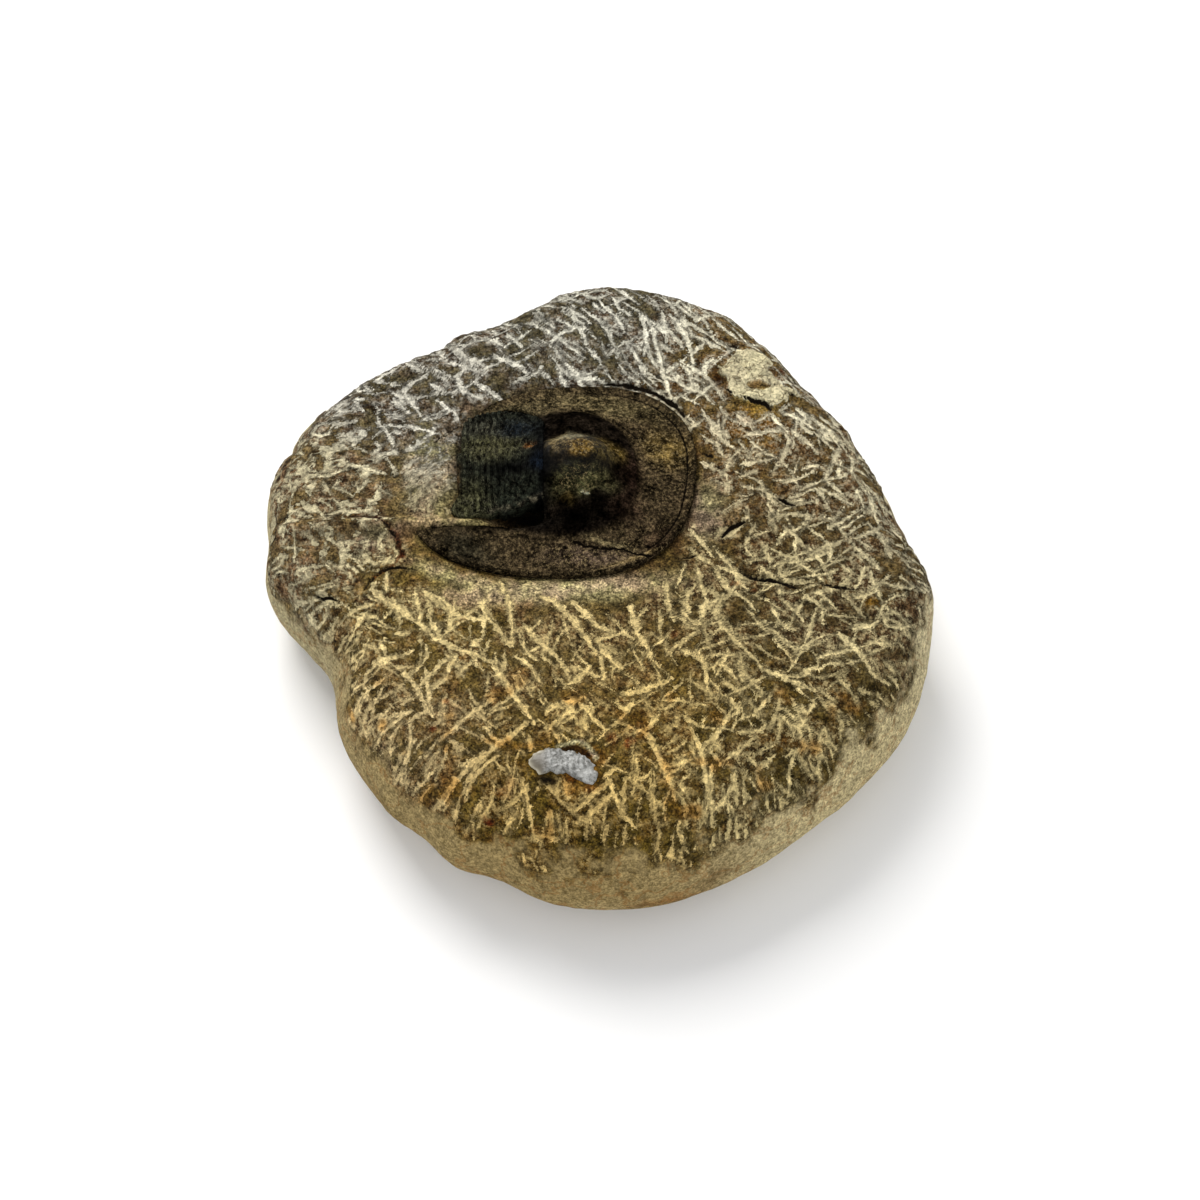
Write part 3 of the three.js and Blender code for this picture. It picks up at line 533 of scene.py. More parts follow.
def cobble_skin(bearing, stage):
    """Points of the bare cobble with their outward ways and their places on the flattened
    skin. Stage 0 to 1 runs over the crown, whose height is crown_height; 1 to 2 is a quarter
    of an ellipse round the shoulder to the girth; 2 to 3 is another one under it to the flat.
    A place on the flattened skin lies at the bearing, as far from the heart as the skin runs."""
    girth, rim, rim_height, widest, foot, shoulder, under = section(bearing)
    over = np.clip(stage - 1, 0, 1)
    below = np.clip(stage - 2, 0, 1)
    turn, tuck = over * np.pi / 2, below * np.pi / 2
    lumps = side_lumps(bearing, over + below)
    radius = np.where(
        stage <= 1, rim * stage,
        lumps * np.where(stage <= 2, mix(rim, girth, np.sin(turn)), mix(foot, girth, np.cos(tuck))),
    )
    x, y = HEART[0] + radius * np.cos(bearing), HEART[1] + radius * np.sin(bearing)
    height = np.where(
        stage <= 1, crown_height(x, y),
        np.where(stage <= 2, mix(widest, rim_height, np.cos(turn)), widest * (1 - np.sin(tuck))),
    )
    out = np.where(stage <= 2, np.sin(turn) / (girth - rim), np.cos(tuck) / (girth - foot))
    up = np.where(stage <= 2, np.cos(turn) / (rim_height - widest), -np.sin(tuck) / widest)
    length = np.hypot(out, up)
    way = np.stack([out * np.cos(bearing), out * np.sin(bearing), up], -1) / length[..., None]
    run = rim * np.minimum(stage, 1) + shoulder * over + under * below
    skin = HEART + run[..., None] * np.stack([np.cos(bearing), np.sin(bearing)], -1)
    return np.stack([x, y, height], -1), way, skin


# ---- The tool's strokes --------------------------------------------------------------------
def habit(x, y, girth_run, draw):
    """How the tool was held at a place on the skin: the stroke's bearing in degrees and its
    length, from the side of the fossil it lies on. Near the girth it points outwards."""
    out = math.degrees(math.atan2(y - HEART[1], x - HEART[0]))
    if girth_run > 1.12 and y < 0:
        return out + draw.normal(0, 12), draw.uniform(2, 5.5)
    pick = draw.random()
    if y > 22 - 0.15 * x:
        bearing = (-48, -62, 30)[int(pick > 0.62) + int(pick > 0.85)]
        return bearing + draw.normal(0, 11), draw.uniform(2, 6.5)
    if x < -27:
        bearing = (-15, -50, 60)[int(pick > 0.35) + int(pick > 0.75)]
        return bearing + draw.normal(0, 20), draw.uniform(1, 3.5)
    if x > 20:
        bearing = (20, -50, 70)[int(pick > 0.42) + int(pick > 0.82)]
        return bearing + draw.normal(0, 12), draw.uniform(2, 6.5)
    bearing = (-46, 42, 88)[int(pick > 0.5) + int(pick > 0.8)]
    return bearing + draw.normal(0, 12), draw.uniform(2, 6.5)


def in_smooth_place(x, y):
    """True where the tool left no strokes: on the fossil and the smooth band round it, in
    the grey patch beside it, in the scraped ground behind it and on the cream crust."""
    near_band = -28 < x < 12 and y < 6 and outside_brim(x, y) < 5.5
    grey_x, grey_y = GREY_PATCH
    grey_patch = math.hypot((x - grey_x) / GREY_HALF_WIDTH, (y - grey_y) / 5.2) < 1
    scraped = -29.5 < x < -20 and -1 < y < 19
    crust = loop_distance(np.array(x), np.array(y), CRUST_OUTLINE) < 0
    return outside_brim(x, y) < 0.8 or near_band or grey_patch or scraped or bool(crust)


def draw_strokes():
    """The chart of strokes: the long ones as listed, then fans of short ones from places on a
    jittered lattice, most of them kept off the strokes already there."""
    chart = Chart((-CHART_REACH, -CHART_REACH), (CHART_REACH, CHART_REACH), CHART_CELL)
    draw = np.random.default_rng(SEED)
    for x, y, degrees, length, half_width in STROKES:
        line = bowed((x, y), math.radians(degrees), length, draw.normal(0, 0.06) * length)
        line += draw.normal(0, 0.12, line.shape)
        chart.stroke(line, half_width, draw.uniform(0.85, 1), 0.55)
    for _ in range(SCRAPES):
        start = (draw.uniform(-28.5, -21.5), draw.uniform(3, 17))
        turn = math.radians(draw.normal(55, 22))
        chart.stroke(bowed(start, turn, draw.uniform(1, 2.8), draw.normal(0, 0.15)), 0.13, 0.5)
    for column in range(-LATTICE_HALF, LATTICE_HALF):
        for row in range(-LATTICE_HALF, LATTICE_HALF):
            x, y = (column + draw.uniform(0, 1)) * LATTICE, (row + draw.uniform(0, 1)) * LATTICE
            bearing = math.atan2(y - HEART[1], x - HEART[0])
            run = math.hypot(x - HEART[0], y - HEART[1])
            _, rim, _, _, _, shoulder, _ = section(np.array(bearing))
            girth_run = min(run / rim, 1) + max(run - rim, 0) / shoulder
            for _ in range(draw.integers(1, 4)):
                degrees, length = habit(x, y, girth_run, draw)
                half_width = 0.08 + 0.3 * draw.random() ** 1.8
                turn = math.radians(degrees + 180 * draw.integers(0, 2))
                points = bowed((x, y), turn, length, draw.normal(0, 0.05) * length)
                strength = draw.uniform(0.6, 1)
                if girth_run > 1.78 or any(in_smooth_place(*p) for p in points[::2]):
                    continue
                crowded = draw.uniform(-0.15, 1.1) - 0.2 * (x < -27)
                if chart.edge[chart.cell_at(*points[2])] > crowded:
                    chart.stroke(points, half_width, strength)
    return chart


# ---- The cobble ----------------------------------------------------------------------------
def disc_grid(count):
    """A square grid of places wrapped on a disc, its square rings becoming round ones: each
    place's bearing and its share of the disc's radius."""
    side = np.linspace(-1, 1, count)
    x, y = np.meshgrid(side, side, indexing="ij")
    steep = np.abs(y) > np.abs(x)
    reach = np.where(steep, y, x)
    lean = np.where(steep, x, y) / np.where(reach == 0, 1, reach) * np.pi / 4
    bearing = np.where(steep, np.pi / 2 - lean, lean) + np.where(reach < 0, np.pi, 0)
    return bearing, np.abs(reach)


def skirted(top, rings):
    """Closes a grid of points: rings of points hang from its boundary, and one face closes
    the last ring. Gives the points and the faces, which point outwards."""
    index = np.arange(top[..., 0].size).reshape(top.shape[:2])
    loops = [border(index)]
    points = [top.reshape(-1, 3)]
    for ring in rings:
        loops.append(np.arange(len(ring)) + sum(len(part) for part in points))
        points.append(ring)
    wrapped = np.array([np.append(loop, loop[0]) for loop in loops])
    faces = grid_faces(index).tolist() + grid_faces(wrapped).tolist() + [loops[-1][::-1].tolist()]
    return np.concatenate(points), faces


def border(grid):
    """The boundary of a grid, anticlockwise."""
    return np.concatenate([grid[:-1, 0], grid[-1, :-1], grid[:0:-1, -1], grid[0, :0:-1]])


def walls(edge_loop, floor, shares):
    """Rings of points under a loop, at shares of the way down to the floor's level."""
    return [edge_loop * (1, 1, 0) + (0, 0, 1) * mix(edge_loop[:, 2:], floor, s) for s in shares]


def padded(field, shape, count, value):
    """A field of a grid's points, followed by one value for the count of points in its walls."""
    return np.append(np.broadcast_to(field, shape).ravel(), np.full(count, value))


def blend_sites(x, y, sites, column, spread):
    """A colour that moves smoothly between the sites' own, which stand in that column of their
    rows: each counts as a bell of its distance, as wide as the spread."""
    total, weights = 0.0, 1e-9
    for site in sites:
        weight = bell(np.hypot(x - site[0], y - site[1]), spread) + 1e-6
        total = total + weight[..., None] * linear(site[column])
        weights = weights + weight
    return total / weights[..., None]


def paint(colour, points, spots, ragged):
    """Blends spots into a colour: centre, half widths, how far turned in degrees, the spot's
    colour and its strength. Their outlines are ragged by so many mm."""
    x = points[:, 0] + ragged * rough(points, 1.6, 3, 111)
    y = points[:, 1] + ragged * rough(points, 1.6, 3, 115)
    for cx, cy, wide, deep, turned, code, strength in spots:
        c, s = math.cos(math.radians(turned)), math.sin(math.radians(turned))
        u, v = (x - cx) * c + (y - cy) * s, (y - cy) * c - (x - cx) * s
        share = strength * np.exp(-(((u / wide) ** 2 + (v / deep) ** 2) ** 1.5))
        colour = mix(colour, linear(code), share[..., None])
    return colour


def shield_lines(count):
    """The head shield's outer edge, the foot of its cheeks and its inner edge, from the near
    tip to the far one. The outer edge is a squarish oval (cosine and sine to the power of 2
    over its squareness), sheared by its lean; the foot lies between the two edges."""
    around = np.linspace(0, 1, count)
    angle = np.radians(mix(*TIPS, around))
    ahead, side = (
        np.sign(f) * np.abs(f) ** (2 / BRIM_SQUARENESS) for f in (np.cos(angle), np.sin(angle))
    )
    back = np.where(angle < 0, BRIM_NEAR_BACK, BRIM_FAR_BACK)
    y = BRIM_SIDE * side
    x = np.where(ahead > 0, BRIM_AHEAD, back) * ahead + BRIM_LEAN * y
    outer = BRIM_MIDDLE + np.stack([x, y], -1)
    inner = spline(np.concatenate([outer[:1], NECK, outer[-1:]]), around)
    towards_tip = ramp(np.abs(2 * around - 1), 0.3, 0.8)
    foot = mix(outer, inner, mix(FRONT_SHARE, BLADE_SHARE, towards_tip)[:, None])
    return outer, foot, inner


def cobble_grid():
    """The bare cobble: its points and faces, and for each point the outward way, the place on
    the skin and the stage. The crown and most of the shoulder lie on a fine grid wrapped on a
    disc, the girth and the underside in rings."""
    bearing, share = disc_grid(GRID)
    _, rim, _, _, _, shoulder, _ = section(bearing)
    run = share * (rim + GRID_SHOULDER * shoulder)
    stage = np.where(run < rim, run / rim, 1 + (run - rim) / shoulder)
    bare, way, skin = cobble_skin(bearing, stage)
    outer = border(bearing)
    rings = [cobble_skin(outer, np.full(outer.shape, level)) for level in RING_STAGES]
    points, faces = skirted(bare, [ring[0] for ring in rings])
    ways = np.concatenate([way.reshape(-1, 3)] + [ring[1] for ring in rings])
    skin = np.concatenate([skin.reshape(-1, 2)] + [ring[2] for ring in rings])
    stages = np.concatenate([stage.ravel(), np.repeat(RING_STAGES, len(outer))])
    return points, faces, ways, skin, stages


def crack_edge(x, y, points):
    """How far each place lies outside the nearest crack's edge. A crack is widest half way
    along and wanders with noise."""
    x = x + 0.22 * noise(points, 1.3, 41)
    y = y + 0.2 * noise(points, 1.1, 42)
    edge = np.full(len(points), FAR)
    for half_width, *line in CRACKS:
        away, _, along = line_distance(x, y, line)
        edge = np.minimum(edge, away - half_width * (0.35 + 0.65 * np.sin(np.pi * along) ** 0.5))
    return edge


def crust_edge(x, y, points):
    """How far each place lies outside the cream crust's flaky edge, below 0 on the crust. The
    place where it has come off counts as outside."""
    x, y = (
        across + 0.35 * noise(points, 1.1, seed) + 0.25 * noise(points, 0.5, seed + 3)
        for across, seed in ((x, 51), (y, 52))
    )
    hole_x, hole_y, hole_wide, hole_deep = CRUST_HOLE
    off_hole = np.hypot((x - hole_x) / hole_wide, (y - hole_y) / hole_deep) - 1
    return np.maximum(loop_distance(x, y, CRUST_OUTLINE), -0.8 * off_hole)


def fossil_edge(x, y):
    """How far each place lies outside the head shield and the thorax, below 0 on them."""
    outer, _, inner = shield_lines(OUTLINE_POINTS)
    shield = loop_distance(x, y, np.concatenate([outer, inner[::-1]]))
    return np.minimum(shield, loop_distance(x, y, THORAX_LOOP))


def cobble_colours(x, y, points, left, crusted):
    """Colours of the rock, of its powder and of its rind at each place on the skin, laid one
    over another, and how far the thin coloured lines take the powder's place."""
    flat = np.column_stack([x, y, 0 * x])
    ground, chalk = (blend_sites(x, y, TINTS, column, TINT_REACH) for column in (2, 3))
    buff = paint(blend_sites(x, y, BUFF, 2, BUFF_REACH), flat, RIND_SPOTS, 1.2)
    ground = paint(ground, flat, GROUND_SPOTS, 0.5)
    # Spots at full strength cover the powder too; two of them are painted shadow.
    chalk = paint(chalk, flat, [spot for spot in GROUND_SPOTS if spot[-1] == 1], 0.5)

    wobble = noise(points, 0.9, 61)
    for cx, cy, half_width, strong in RUST:
        away = np.hypot(x - cx, y - cy) + 0.7 * half_width * wobble
        share = strong * ramp(-away, -half_width, 0)[:, None]
        ground = mix(ground, linear(RUST_ON_ROCK), share)
        chalk = mix(chalk, linear(RUST_ON_POWDER), 0.8 * share)
    clouds = noise(points, 3.4, 69) + 0.4 * noise(points, 1.2, 70)
    golden = 0.75 * (ramp(-y, 16, 30) * ramp(clouds, 0.2, 0.7))[:, None]
    chalk = mix(chalk, linear(GOLD_ON_POWDER), golden)
    ground = mix(ground, linear(GOLD_ON_ROCK), 0.6 * golden)
    ground = mix(ground, linear(CRUST_BASE), crusted[:, None])
    chalk = mix(chalk, linear(CRUST_POWDER), crusted[:, None])
    pit = left * ramp(noise(points, 1.5, 66) + 0.4 * noise(points, 0.7, 67), 0.3, 0.55)
    ground = mix(ground, linear(PIT_DARK), 0.85 * pit[:, None])

    veined = 0 * x
    vein_x, vein_y = x + 0.3 * noise(points, 1.1, 62), y + 0.3 * noise(points, 1.1, 63)
    for half_width, code, strong, *line in VEINS:
        away, _, _ = line_distance(vein_x, vein_y, line)
        share = strong * ramp(-away, -half_width - 0.15, 0.1 - half_width)
        ground = mix(ground, linear(code), share[:, None])
        veined = veined + share
    return ground, chalk, buff, veined


def make_cobble(chart):
    """The cobble. Its bare skin is pushed out or in along its own way by low relief: lumps,
    crumbs, the strokes' grooves with their raised lips, the crust's flakes and the cracks."""
    bare, faces, ways, skin, stages = cobble_grid()
    x, y = skin.T
    warped = [0.13 * rough(bare + 50 * k, 1.1, 2, 5) for k in (0, 1)]
    edge, across, half, along, strength = chart.read(x + warped[0], y + warped[1])

    broken = 0.2 * noise(bare, 4.5, 31) + 0.12 * noise(bare, 1.7, 32) + 0.07 * noise(bare, 0.8, 33)
    natural = ramp(stages + broken, *RIND_STAGES)
    worked = 1 - natural
    off_calcite = loop_distance(x, y, CALCITE_OUTLINE)
    edge = edge + 3 * natural + 2 * (1 - ramp(off_calcite, 0.2, 0.9))
    crack = crack_edge(x, y, bare)
    crust = crust_edge(x, y, bare)
    fossil = fossil_edge(x, y)
    calm = np.clip(ramp(fossil, 0.5, 3.2) + 0.35 * ramp(-x, 20, 24), 0.25, 1)
    grey_x, grey_y = GREY_PATCH
    quiet = 1 - 0.7 * bell(np.hypot((x - grey_x) / GREY_HALF_WIDTH, (y - grey_y) / 5.4), 1)

    lumps = 0.3 * noise(bare, 4.2, 1) + 0.2 * noise(bare, 1.9, 2)
    crumbs = 0.15 * noise(bare, 1.0, 3) + 0.08 * noise(bare, 0.6, 4)
    groove = 0.16 * strength * ramp(-edge, -0.25, 0.2)
    lips = 0.05 * strength * bell(edge - 0.3, 0.25)
    flakes = 0.14 * ramp(noise(bare * (1, 1.6, 1), 1.5, 6), -0.1, 0.15)
    relief = calm * quiet * worked * (lumps + crumbs + lips) - worked * groove
    relief = relief + 0.22 * ramp(-crust, -0.1, 0.25) + flakes * ramp(-crust, 0, 0.5)
    relief = relief + natural * (0.22 * noise(bare, 5, 7) + 0.07 * noise(bare, 1.4, 8))
    relief = relief - 0.55 * ramp(-crack, -0.2, 0.15)
    # The rock sinks a little at the fossil's edge and passes under the fossil.
    relief = relief - 0.3 * bell(fossil - 0.1, 0.3) - 1.6 * ramp(-fossil, 0.15, 1.1)
    relief = relief * (1 - ramp(stages, 2.75, 2.95))
    points = bare + ways * relief[:, None]
    points[stages > 2.99, 2] = 0

    # The crust is powder all over; left of the fossil the powder lies in blotches.
    left = ramp(-x, 25, 33) * worked
    crusted = ramp(-crust, -0.15, 0.2)
    ground, chalk, buff, veined = cobble_colours(x, y, points, left, crusted)
    blotch = noise(points, 2.3, 64) + 0.7 * noise(points, 1, 65) + 0.7 * noise(points, 0.5, 68)
    blotch = left * ramp(blotch, 0.35, 0.9)
    edge = mix(edge, -1.0, crusted) - 1.1 * blotch + 2 * veined
    strength = np.maximum(mix(strength, 0.8, crusted), 0.7 * blotch)
    # Painted shade: the rock is darker along the fossil's edge near the head.
    shade = 1 - 0.35 * bell(fossil, 0.4) * (outside_brim(x, y) < 3)
    return make_piece(
        "limestone_cobble", "stone_matrix", points, faces, limestone(),
        {
            "ground": ground * shade[:, None], "chalk": chalk, "buff": buff, "edge": edge,
            "across": across, "half": half, "along": along, "strength": strength,
            "crack": crack, "natural": natural, "crust": crusted,
        },
    )


# ---- The fossil ----------------------------------------------------------------------------
def cheek_height(x, y):
    """The domed cheeks: they fall away forward of the eyes, to both sides and towards the
    tail, as one minus a high power of the reach from the head's middle."""
    forward = np.maximum(0, x + 3.2) / 10
    reach = np.hypot(forward, (y - 9.7) / 11.5)
    flank = ramp(np.abs(y - AXIS_Y), 2.5, 5.5) * (1 - ramp(x, -8.2, -4.5))
    return (1 - 0.4 * flank) * 3.2 * np.maximum(0, 1 - reach**2.4) ** 0.8 * ramp(x, -13, -8.5)


def glabella_height(x, y):
    """The egg between the cheeks, e to the minus a high power of the reach from its middle,
    with the furrow round it and the ring at the neck."""
    along = (x + 2.2) / 6
    across = (y - AXIS_Y - 0.3) / (4.5 - 0.12 * (x + 2.2))
    reach = np.hypot(along, across)
    egg = 3 * np.exp(-1.9 * reach**3.5)
    furrow = 0.3 * bell(reach - 1.15, 0.22) * ramp(x, -9, -6)
    neck_ring = 1.1 * bell(x + 7, 0.8) * bell(y - AXIS_Y, 3.4)
    return egg - furrow + neck_ring


def head_height(x, y):
    """How far the head rises over the brim inside the cheeks' foot: cheeks, glabella, eyes."""
    eyes = EYE_RISE * bell(np.hypot(x - EYE_X, np.abs(y - AXIS_Y) - EYE_SIDE), 0.8)
    return cheek_height(x, y) + ramp(x, -12, -8) * (glabella_height(x, y) + eyes)


def make_shield():
    """The head shield: ruled between its outer edge, the cheeks' foot and its inner edge, with
    a bead along the rim and the head's own height inside the foot. Its fine relief is the seam
    along the rim, the fracture, pits, the hollow in the glabella's flank and the eye's ring."""
    across = np.concatenate([np.linspace(0, 1, BRIM_ROWS), 1 + np.linspace(0, 1, CHEEK_ROWS)[1:]])
    outer, foot, inner = (line[:, None] for line in shield_lines(SHIELD_COLUMNS))
    share = across[None, :, None]
    flat = np.where(share <= 1, mix(outer, foot, share), mix(foot, inner, share - 1))
    x, y = flat[..., 0], flat[..., 1]
    width = np.hypot(*(foot - outer)[..., 0, :].T)[:, None]
    run = np.minimum(across, 1) * width
    fullness = np.minimum(1, width / 4)
    brim = BRIM_RISE * fullness * np.minimum(across, 1) ** 1.6
    bead = 0.3 * fullness * bell(run - 0.5, 0.5) * (across <= 1)
    body = (across > 1) * head_height(x, y)
    z = BRIM_EDGE + brim + bead + body

    place = np.stack([x, y, z], -1)
    around = np.linspace(0, 1, SHIELD_COLUMNS)[:, None]
    seam_at = 1.35 + 0.5 * ramp(around, 0.55, 0.75) + 0.12 * noise(place, 3, 71)
    seam_here = ramp(around, 0.3, 0.36) * (1 - ramp(around, 0.8, 0.86))
    seam = np.abs(run - seam_at) - 0.1 + FAR * (1 - seam_here) + FAR * (across > 1)
    fracture, _, _ = line_distance(
        x + 0.15 * noise(place, 0.9, 72), y + 0.2 * noise(place, 0.7, 73), FRACTURE
    )
    suture, _, _ = line_distance(x, y + 0.2 * noise(place, 1, 74), CHEEK_LINE)
    line_away = np.minimum(np.minimum(seam, fracture - 0.16), suture - 0.08)
    hollow = bell(np.hypot((x + 4) / 3.2, (y - 8.4) / 0.8), 1)
    ring = np.hypot(x - NEAR_EYE_RING[0], y - NEAR_EYE_RING[1])
    on_top = ramp(glabella_height(x, y), 0.3, 1.6)
    # The relief: roughness, the lines, the hollow and the eye's ring, swells on the head, and
    # the dip where the near blade leaves the neck.
    fine = 0.12 * noise(place, 1.6, 75) + 0.09 * noise(place, 0.8, 76) + 0.04 * noise(place, 0.4, 77)
    z = z + fine - 0.22 * ramp(-line_away, -0.16, 0.06)
    z = z - 0.5 * hollow + 0.12 * bell(ring - 0.95, 0.22) - 0.25 * bell(ring, 0.5)
    z = z + 0.12 * noise(place, 2.4, 78) * ramp(body, 0.2, 1)
    z = z - 2.2 * bell(np.hypot((x + 8.5) / 4, (y - 2.2) / 2.2), 1)
    top = np.stack([x, y, z], -1)
    points, faces = skirted(top, walls(border(top), FOSSIL_FLOOR, (0.25, 1)))

    # The colours: brown on the brim, almost black on the head, with painted shade along the outer
    # rim and on the walls, and painted shadow along the inner edge towards the blades' tips.
    count = len(points) - z.size
    domed = padded(ramp(body, 0.1, 0.8), z.shape, count, 0)[:, None]
    colour = paint(mix(linear("#2d2519"), linear("#100c08"), domed), points, SHELL_SPOTS, 0.35)
    dust = ramp(colour.mean(-1), 0.004, 0.035)
    on_brim = padded(across <= 1, z.shape, count, 1)
    painted_rim_shade = 1 - 0.6 * bell(padded(run, z.shape, count, 0), 0.45) * on_brim
    inner_edge = padded(ramp(across, 1.55, 1.95), z.shape, count, 1)
    painted_rim_shade = painted_rim_shade * (1 - 0.85 * inner_edge * ramp(-points[:, 0], 12.5, 14))
    return make_piece(
        "trilobite_head", "head_shield", points, faces, shell(),
        {
            "shell": colour * painted_rim_shade[:, None],
            "line": padded(line_away, z.shape, count, FAR),
            "gloss": padded(on_top * (across > 1), z.shape, count, 0),
            "dust": dust,
        },
    )


def make_thorax():
    """The thorax: a vault across the body, half an ellipse between two falling flanks, scored
    by a furrow between each two segments and by finer ribs on them. Its near and tail edges
    are frayed."""
    along = np.linspace(0, 1, THORAX_COLUMNS)[:, None]
    across = np.linspace(0, 1, THORAX_ROWS)[None, :]
    near_edge = mix(2.5, 5, along**1.6)
    far_edge = mix(19.5, 18.9, along) + 2.3 * np.sin(np.pi * along) ** 0.8
    x = mix(TAIL_X, NECK_X + 0.9, along) + 0 * across
    y = mix(near_edge, far_edge, across)
    frayed = np.stack([x, y, 0 * x], -1)
    x = x + (1 - along) ** 8 * (0.8 * noise(frayed, 1.2, 91) + 1.2 * ramp(across, 0.5, 0.56))
    y = y + bell(across, 0.06) * 0.35 * noise(frayed, 1.1, 92)

    off = np.abs(y - AXIS_Y)
    vault = 2 * np.sqrt(np.maximum(0, 1 - (off / 3.6) ** 2)) - 1.5 * ramp(off, 4.2, 8.6)
    vault = vault + 0.1 * ramp(y, 18.2, 20.8)
    step = SEGMENTS * (x - TAIL_X) / (NECK_X - TAIL_X) + 0.05 * (y - AXIS_Y) * ramp(off, 4, 6)
    wander = (0.12 + 0.25 * ramp(y, 8, 13)) * noise(frayed, 1.6, 97) + 0.08 * noise(frayed, 0.7, 98)
    step = step + wander
    saw = step % 1
    ribs = 0.36 * ramp(saw, 0, 0.25) * (1 - ramp(saw, 0.55, 1)) - 0.15
    pleats = 0.05 * np.cos(6 * np.pi * step)
    clear = 0.35 + 0.65 * ramp(-x, 9, 15)  # the ribs fade towards the neck
    place = np.stack([x, y, vault], -1)
    z = THORAX_LEVEL + vault - 0.7 * (1 - along) + clear * ribs + pleats
    z = z + 0.2 * noise(place, 1.6, 93) + 0.16 * noise(place, 0.7, 94) + 0.07 * noise(place, 0.35, 95)
    z = z - 0.3 * bell(np.abs(off - 4.3), 0.5)
    # The first segments duck under the head.
    neck = BRIM_EDGE + BRIM_RISE + head_height(np.full_like(y, NECK_X + 0.3), y)
    z = mix(z, np.minimum(z + 1, neck) - 0.1, ramp(x, -10.5, -8))
    z = z - 1.5 * ramp(x, -7.7, -7.1)
    top = np.stack([x, y, z], -1)
    points, faces = skirted(top, walls(border(top), FOSSIL_FLOOR, (0.2, 1)))

    # The colours: greenish black, a painted highlight along the near edge, painted shade in the
    # furrows.
    count = len(points) - z.size
    colour = paint(np.broadcast_to(linear("#191b15"), points.shape), points, THORAX_SPOTS, 0.35)
    lit = bell(padded(across, z.shape, count, 1), 0.018) * ramp(points[:, 0], -17, -15)
    lit = lit * ramp(noise(points, 0.9, 96), -0.6, 0.2)
    colour = mix(colour, linear("#5f5848"), 0.6 * lit[:, None])
    furrow = padded(1 - ramp(saw, 0, 0.3) + ramp(saw, 0.75, 1), z.shape, count, 0)
    shade = 1 - 0.55 * furrow * padded(clear, z.shape, count, 0)
    colour = colour * shade[:, None]
    return make_piece(
        "trilobite_thorax", "thorax", points, faces, segments(),
        {"shell": colour, "dust": ramp(colour.mean(-1), 0.002, 0.02)},
    )


def make_calcite():
    """The calcite patch: a low cushion inside its outline, broken into small flat facets
    that tilt this way and that, with a smooth thin tongue at its left end."""
    bearing, share = disc_grid(CALCITE_GRID)
    middle = CALCITE_OUTLINE.mean(0)
    corners = CALCITE_OUTLINE - middle
    corners = corners[np.argsort(np.arctan2(corners[:, 1], corners[:, 0]))]
    angle = np.arctan2(corners[:, 1], corners[:, 0])
    wrapped = (bearing + np.pi) % (2 * np.pi) - np.pi
    reach = share * np.interp(wrapped, angle, np.hypot(*corners.T), period=2 * np.pi)
    x = middle[0] + reach * np.cos(bearing)
    y = middle[1] + reach * np.sin(bearing)
    place = np.stack([x, y, 0 * x], -1)
    frayed = share**3 * (0.25 * noise(place, 0.9, 101) + 0.12 * noise(place, 0.4, 102))
    x = x + frayed * np.cos(bearing)
    y = y + frayed * np.sin(bearing)

    place = np.stack([x, y, 0 * x], -1)
    cell = np.floor(place / CRYSTAL + 0.5 * noise(place, 0.8, 103)[..., None]).astype(int)
    tilt = 0.3 * hashed(cell, 104) * (x % CRYSTAL / CRYSTAL - 0.5) + 0.14 * hashed(cell, 106)
    crystals = ramp(x, -7.5, -6) * (tilt + 0.08 * noise(place, 0.5, 107))
    cushion = CALCITE_PROUD * (1 - share**5) * (0.75 + 0.25 * ramp(x, -8, -5))
    z = crown_height(x, y) + cushion + crystals
    top = np.stack([x, y, z], -1)
    points, faces = skirted(top, walls(border(top), CALCITE_FLOOR, (1,)))
    # Painted highlight along the outline, used on the tongue.
    rim = padded(share**14, z.shape, len(points) - z.size, 0)
    return make_piece(
        "calcite_vein", "calcite_patch", points, faces, calcite(), {"rim": rim}
    )


# ---- Finishes ------------------------------------------------------------------------------
def feed(tree, node, inputs):
    """Sets a node's inputs, each from a constant or from another node's output."""
    for key, value in inputs.items():
        if isinstance(value, bpy.types.NodeSocket):
            tree.links.new(value, node.inputs[key])
        else:
            node.inputs[key].default_value = value


def add(tree, kind, inputs, output=0, **settings):
    """Adds a node with its settings and its inputs. Gives the output asked for."""
    node = tree.nodes.new(kind)
    for key, value in settings.items():
        setattr(node, key, value)
    feed(tree, node, inputs)
    return node.outputs[output]


def rgba(code):
    """An sRGB hex colour as a socket takes it."""
    return (*linear(code), 1.0)


def finish(name):
    """A new material with its node tree, the place on the object and its surface shader."""
    material = bpy.data.materials.new(name)
    material.use_nodes = True
    tree = material.node_tree
    tree.nodes.clear()
    place = add(tree, "ShaderNodeTexCoord", {}, "Object")
    shader = tree.nodes.new("ShaderNodeBsdfPrincipled")
    feed(tree, tree.nodes.new("ShaderNodeOutputMaterial"), {"Surface": shader.outputs[0]})
    return material, tree, place, shader


def per(size):
    """A texture's scale for features of that size in mm."""
    return 1.0 / (size * MM)


NOISE, MAP, ATTRIBUTE = "ShaderNodeTexNoise", "ShaderNodeMapRange", "ShaderNodeAttribute"
MIX, MATH, VECTOR = "ShaderNodeMix", "ShaderNodeMath", "ShaderNodeVectorMath"
BUMP = "ShaderNodeBump"
SMOOTH = {"interpolation_type": "SMOOTHSTEP"}
BLEND = {"output": 2, "data_type": "RGBA"}  # of two colours, which are a MIX node's inputs 6 and 7


def shaded(tree, colour, fields):
    """A colour scaled by each field in turn: a field's value from low to high becomes a factor
    from least to most."""
    for field, low, high, least, most in fields:
        factor = add(tree, MAP, {
            "Value": field, "From Min": low, "From Max": high, "To Min": least, "To Max": most,
        })
        colour = add(tree, VECTOR, {0: colour, "Scale": factor}, operation="SCALE")
    return colour


